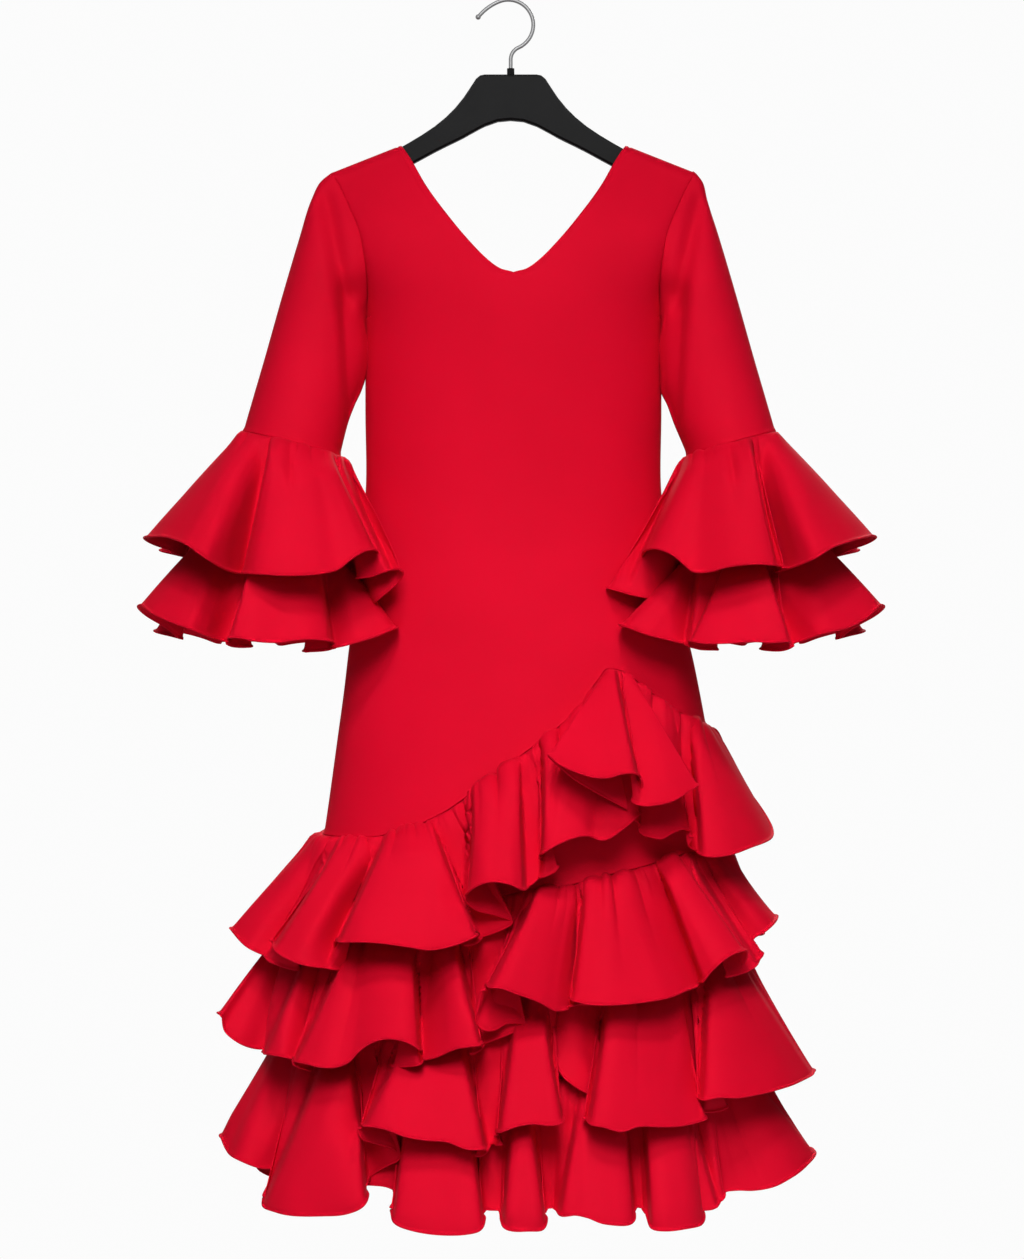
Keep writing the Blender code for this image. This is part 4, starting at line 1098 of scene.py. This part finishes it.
def through(rings, places):
    """Rings along the smooth curve that passes through these, at whole and part numbers."""
    step = np.linalg.norm(np.diff(rings, axis=0), axis=-1).mean(axis=1)
    bend = slopes(rings, step)
    found = []
    for place in places:
        i = min(int(place), len(step) - 1)
        ends = rings[i], rings[i + 1], step[i] * bend[i], step[i] * bend[i + 1]
        found.append(curve(place - i, *ends))
    return np.stack(found)


def beside_body(points):
    """The sleeve's inner side lies against the body below the underarm, and never in it."""
    x, y, level = points[..., 0], points[..., 1], points[..., 2]
    pressed = PRESS * bell(level - PRESS_LEVEL, PRESS_REACH)
    x = x + pressed * eased(np.clip((x - PRESS_START) / PRESS_WIDTH, 0, 1))
    deep = body_depth(y < 0, level) + CLEAR
    reach = smooth(GIRTH, 1, level) + CLEAR
    body = -reach * np.sqrt(np.clip(1 - (y / deep) ** 2, 0, 1))
    x = np.where(level < UNDERARM + CLEAR_FROM, np.minimum(x, body), x)
    return np.stack([x, y, level], -1)


def build_sleeves():
    made = {}
    for side, place, slimmer in SIDES:
        name = f"sleeve_{side}"
        rings = sleeve_rings(slimmer)
        cuff = len(rings) - len(CUFF_ENDS)
        places = list(SLEEVE_START)
        places += [i / SLEEVE_STEPS for i in range(SLEEVE_STEPS, (cuff - 1) * SLEEVE_STEPS)]
        places += [cuff - 1 + share for share in SLEEVE_END]
        at_cuff = len(ARMHOLE_UNDER) + len(places)
        places += [cuff + share for share in CUFF_ROWS]
        grid = beside_body(through(rings, places))
        into = grid[0] - grid[1]
        into /= np.linalg.norm(into, axis=-1)[:, None]
        grid = np.concatenate([*([grid[0] + into * step] for step in ARMHOLE_UNDER), grid])
        down = lengths(grid, 0)
        above = down[at_cuff] - down
        above = np.where(above >= 0, above, down[-1:] - down)
        raised = tucked(down, *ARMHOLE_TUCK) + lip(above)
        grid = place(grid)
        if side == "right":
            grid, raised = grid[:, ::-1], raised[:, ::-1]
        grid[..., 1] -= creased(grid, CREASES[name]) * facing(grid, True)
        made[name] = shell(name, [grid], [raised], True)
    return made


# ---------- hook
def tube(centres, radii):
    """Rings of a round wire that keeps to the plane of the hanger."""
    centres = np.array(centres, float)
    along = np.gradient(centres, axis=0)
    along /= np.linalg.norm(along, axis=1)[:, None]
    turns = np.radians(np.arange(WIRE_SIDES) * 360 / WIRE_SIDES)
    rings = []
    for (x, level), (run, climb), radius in zip(centres, along, radii):
        aside, y = radius * np.cos(turns), radius * np.sin(turns)
        rings.append(np.stack([x - climb * aside, y, level + run * aside], -1))
    return np.stack(rings)


def arc(middle, radius, first, last, count):
    turns = np.radians(np.linspace(first, last, count))
    return [(middle[0] + radius * math.cos(a), middle[1] + radius * math.sin(a)) for a in turns]


def build_hook():
    """A wire from the hanger's plate, through a bend and a round, to an open end with a ball."""
    apart = HOOK_RADIUS + HOOK_BEND
    bend_x = HANGER_MIDDLE + HOOK_BEND
    first = math.degrees(math.acos((bend_x - HOOK_MIDDLE[0]) / apart))
    bend_middle = (bend_x, HOOK_MIDDLE[1] - apart * math.sin(math.radians(first)))
    shank = (*(PLATE_TOP + step for step in FOOT), bend_middle[1] - HOOK_BEND / 2)
    line = [(HANGER_MIDDLE, level) for level in shank]
    line += arc(bend_middle, HOOK_BEND, 180, 180 - first, HOOK_COUNTS[0])
    line += arc(HOOK_MIDDLE, HOOK_RADIUS, -first, HOOK_LAST, HOOK_COUNTS[1])[1:]
    length, radius = HOOK_TAIL
    middle = arc(HOOK_MIDDLE, HOOK_RADIUS - radius, HOOK_LAST, HOOK_LAST, 1)[0]
    last = HOOK_LAST + math.degrees(length / radius)
    line += arc(middle, radius, HOOK_LAST, last, HOOK_COUNTS[2])[1:]
    tip, before = np.array(line[-1]), np.array(line[-2])
    ahead = (tip - before) / np.linalg.norm(tip - before)
    ball = [(1 + math.sin(a), math.cos(a)) for a in np.radians(np.linspace(*BALL_RINGS))]
    radii = [WIRE] * len(line) + [HOOK_BALL * share for _, share in ball]
    line += [tuple(tip + ahead * HOOK_BALL * (reach - BALL_SINK)) for reach, _ in ball]
    rings = tube(line, radii)
    index = np.arange(len(line) * WIRE_SIDES).reshape(-1, WIRE_SIDES)
    right = np.roll(index, -1, axis=1)
    faces = np.stack([index[:-1], right[:-1], right[1:], index[1:]], -1).reshape(-1, 4).tolist()
    faces += [index[0][::-1].tolist(), index[-1].tolist()]
    return piece("hook_steel", rings.reshape(-1, 3), faces, "hook")


# ---------- finishes
class Finish:
    """A material on the Principled shader, with its grain in the piece's own space."""

    def __init__(self, name):
        self.material = bpy.data.materials.new(name)
        self.material.use_nodes = True
        self.tree = self.material.node_tree
        self.shader = self.tree.nodes["Principled BSDF"]
        self.place = self.tree.nodes.new("ShaderNodeTexCoord").outputs["Object"]

    def node(self, kind, source, socket, **values):
        """A new node that takes source in at a socket. Values are inputs, with _ for a space."""
        made = self.tree.nodes.new(kind)
        self.tree.links.new(source, made.inputs[socket])
        for name, value in values.items():
            made.inputs[name.replace("_", " ")].default_value = value
        return made

    def noise(self, scale, detail):
        made = self.node("ShaderNodeTexNoise", self.place, "Vector", Scale=scale, Detail=detail)
        return made.outputs["Fac"]

    def colour(self, source, dark, light, ends=(0, 1)):
        """From dark to light as the source goes from one end to the other."""
        ramp = self.node("ShaderNodeValToRGB", source, "Fac")
        for element, place, value in zip(ramp.color_ramp.elements, ends, (dark, light)):
            element.position, element.color = place, (*value, 1)
        self.tree.links.new(ramp.outputs["Color"], self.shader.inputs["Base Color"])

    def rough(self, source, low, high):
        made = self.node("ShaderNodeMapRange", source, "Value", To_Min=low, To_Max=high)
        self.tree.links.new(made.outputs["Result"], self.shader.inputs["Roughness"])

    def bump(self, source, strength, distance):
        made = self.node("ShaderNodeBump", source, "Height", Strength=strength, Distance=distance)
        self.tree.links.new(made.outputs["Normal"], self.shader.inputs["Normal"])

    def even(self, **values):
        """Values that are the same all over, with _ for a space."""
        for name, value in values.items():
            self.shader.inputs[name.replace("_", " ")].default_value = value


def crepe():
    """Matte red crepe: a fine pebbled grain, a slight unevenness of the dye, and a soft sheen."""
    made = Finish("red_crepe")
    patches = made.noise(7.0, 2.0)
    made.colour(patches, (0.55, 0.0009, 0.016), (0.60, 0.0012, 0.0185), ends=(0.3, 0.7))
    grain = made.noise(1500.0, 3.0)
    both = made.node("ShaderNodeMath", grain, 0)
    both.operation = "ADD"
    made.tree.links.new(made.noise(320.0, 2.0), both.inputs[1])
    made.bump(both.outputs["Value"], 0.18, 0.0004)
    made.rough(grain, 0.7, 0.86)
    made.even(Specular_IOR_Level=0.06, Sheen_Weight=0.03, Sheen_Roughness=0.5)
    made.even(Sheen_Tint=(1.0, 0.06, 0.12, 1))
    return made.material


def hanger_plastic():
    """Black plastic with a fine grain, a little worn."""
    made = Finish("black_hanger")
    wear = made.noise(35.0, 4.0)
    made.rough(wear, 0.38, 0.52)
    made.colour(wear, (0.004, 0.004, 0.0043), (0.007, 0.007, 0.0073))
    made.bump(made.noise(900.0, 3.0), 0.08, 0.0002)
    made.even(Specular_IOR_Level=0.055)
    return made.material


def hook_steel():
    """Satin steel wire."""
    made = Finish("satin_steel")
    fine = made.noise(600.0, 3.0)
    made.rough(fine, 0.44, 0.56)
    made.colour(fine, (0.17, 0.17, 0.172), (0.22, 0.22, 0.222))
    made.even(Metallic=1.0)
    return made.material


# ---------- studio, in metres
CAMERA_PLACE = (0.0, -3.5, -0.6777)
LENS = 92.66
SENSOR = 36
FLOOR = -1.9
FLOOR_RADIUS = 2.2
FLOOR_SIDES = 96
WALL_LIGHT = 0.07  # how bright the walls are as a light on the cloth
WALL_SEEN = 0.97  # and as they are seen or mirrored
DRESS_MIDDLE = (0, 0, -0.7)
LIGHTS = [  # name, place, aim, width and height, watts, and the spread in degrees
    ("key", (-0.12, -4.4, 1.7), DRESS_MIDDLE, (1.9, 1.6), 190, 180),
    ("skirt_light", (-0.1, -2.6, 2.1), (0, 0, -1.2), (0.9, 0.7), 1.7, 24),
    ("fill", (0.2, -3.6, -0.6), DRESS_MIDDLE, (2.2, 1.4), 10, 180),
    ("back_key", (0.4, 4.4, 1.7), DRESS_MIDDLE, (1.9, 1.6), 180, 180),
]


def build_floor():
    """A round, pale floor, which ends below the picture's lower edge."""
    paper = bpy.data.materials.new("pale_paper")
    paper.use_nodes = True
    shader = paper.node_tree.nodes["Principled BSDF"]
    shader.inputs["Base Color"].default_value = (0.93, 0.93, 0.93, 1)
    shader.inputs["Roughness"].default_value = 0.9
    rim = arc((0, 0), FLOOR_RADIUS, 0, 360, FLOOR_SIDES + 1)[:-1]
    data = bpy.data.meshes.new("floor")
    data.from_pydata([(x, y, FLOOR) for x, y in rim], [], [list(range(FLOOR_SIDES))])
    data.materials.append(paper)
    added("floor", data)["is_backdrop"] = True


def build_world():
    """The studio's walls: dim where they light the cloth, white where they are seen or mirrored."""
    world = bpy.data.worlds.new("studio")
    world.use_nodes = True
    nodes, links = world.node_tree.nodes, world.node_tree.links
    dim, white = nodes["Background"], nodes.new("ShaderNodeBackground")
    for wall, strength in ((dim, WALL_LIGHT), (white, WALL_SEEN)):
        wall.inputs["Color"].default_value = (1, 1, 1, 1)
        wall.inputs["Strength"].default_value = strength
    rays = nodes.new("ShaderNodeLightPath")
    seen_or_mirrored = nodes.new("ShaderNodeMath")
    seen_or_mirrored.operation = "MAXIMUM"
    mixed = nodes.new("ShaderNodeMixShader")
    links.new(rays.outputs["Is Camera Ray"], seen_or_mirrored.inputs[0])
    links.new(rays.outputs["Is Glossy Ray"], seen_or_mirrored.inputs[1])
    links.new(seen_or_mirrored.outputs["Value"], mixed.inputs[0])
    links.new(dim.outputs["Background"], mixed.inputs[1])
    links.new(white.outputs["Background"], mixed.inputs[2])
    links.new(mixed.outputs["Shader"], nodes["World Output"].inputs["Surface"])
    bpy.context.scene.world = world


def build_lights():
    bpy.context.scene.view_settings.view_transform = "Standard"
    for name, place, aim, size, power, spread in LIGHTS:
        data = bpy.data.lights.new(name, "AREA")
        data.shape = "RECTANGLE"
        data.size, data.size_y = size
        data.energy = power
        data.spread = math.radians(spread)
        made = added(name, data)
        made.visible_camera = False
        made.location = place
        made.rotation_euler = (Vector(aim) - Vector(place)).to_track_quat("-Z", "Y").to_euler()


def build_camera():
    data = bpy.data.cameras.new("camera")
    data.sensor_fit = "VERTICAL"
    data.sensor_width = data.sensor_height = SENSOR
    data.lens = LENS
    made = added("camera", data)
    made.location = CAMERA_PLACE
    made.rotation_euler = (math.pi / 2, 0, 0)
    bpy.context.scene.camera = made


# ---------- the scene
# Each sheet: piece, how it is held, its flat cut's width, length and area in metres, and what it
# hangs from or lies on. A ruffle is cut as a shallow curve, with its hem as its width and its drop
# as its length.
SHEETS = [
    ("front", "hung", 0.60, 0.77, 0.256, ["hanger"]),
    ("back", "hung", 0.54, 0.77, 0.266, ["hanger"]),
    ("skirt_front", "hung", 0.66, 0.43, 0.205, ["front"]),
    ("skirt_back", "hung", 0.66, 0.35, 0.198, ["back"]),
    ("tier_a", "gathered", 2.40, 0.18, 0.30, ["skirt_front", "skirt_back"]),
    ("tier_b", "gathered", 2.60, 0.19, 0.33, ["skirt_front", "skirt_back"]),
    ("tier_c", "gathered", 2.72, 0.21, 0.37, ["skirt_front", "skirt_back"]),
    ("tier_d", "gathered", 2.10, 0.18, 0.25, ["skirt_front", "skirt_back"]),
    ("apex_flounce", "gathered", 0.36, 0.18, 0.030, ["skirt_front"]),
    ("sleeve_left", "hung", 0.44, 0.42, 0.122, ["front", "back"]),
    ("sleeve_right", "hung", 0.44, 0.42, 0.118, ["front", "back"]),
    ("ruffle_left_upper", "gathered", 1.20, 0.17, 0.140, ["sleeve_left"]),
    ("ruffle_left_lower", "gathered", 1.17, 0.15, 0.120, ["sleeve_left"]),
    ("ruffle_right_upper", "gathered", 1.30, 0.19, 0.150, ["sleeve_right"]),
    ("ruffle_right_lower", "gathered", 1.20, 0.16, 0.122, ["sleeve_right"]),
]


def main():
    cloth, plastic, steel = crepe(), hanger_plastic(), hook_steel()
    pieces = {**build_bodice(), **build_foundation(), **build_tiers(), **build_flounce()}
    pieces.update({**build_sleeves(), **build_sleeve_ruffles()})
    for made in pieces.values():
        made.data.materials.append(cloth)
    for name, held, width, length, area, under in SHEETS:
        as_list(under)
    hook = build_hook()
    hook.data.materials.append(steel)
    for name in ("hanger", "collar"):
        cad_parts[name].data.materials.clear()
        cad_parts[name].data.materials.append(plastic)
    build_floor()
    build_world()
    build_lights()
    build_camera()


main()
bounds = {"cad": cad_bounds, "visual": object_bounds()}
{name: [list(corner) for corner in box] for name, box in bounds.items()}
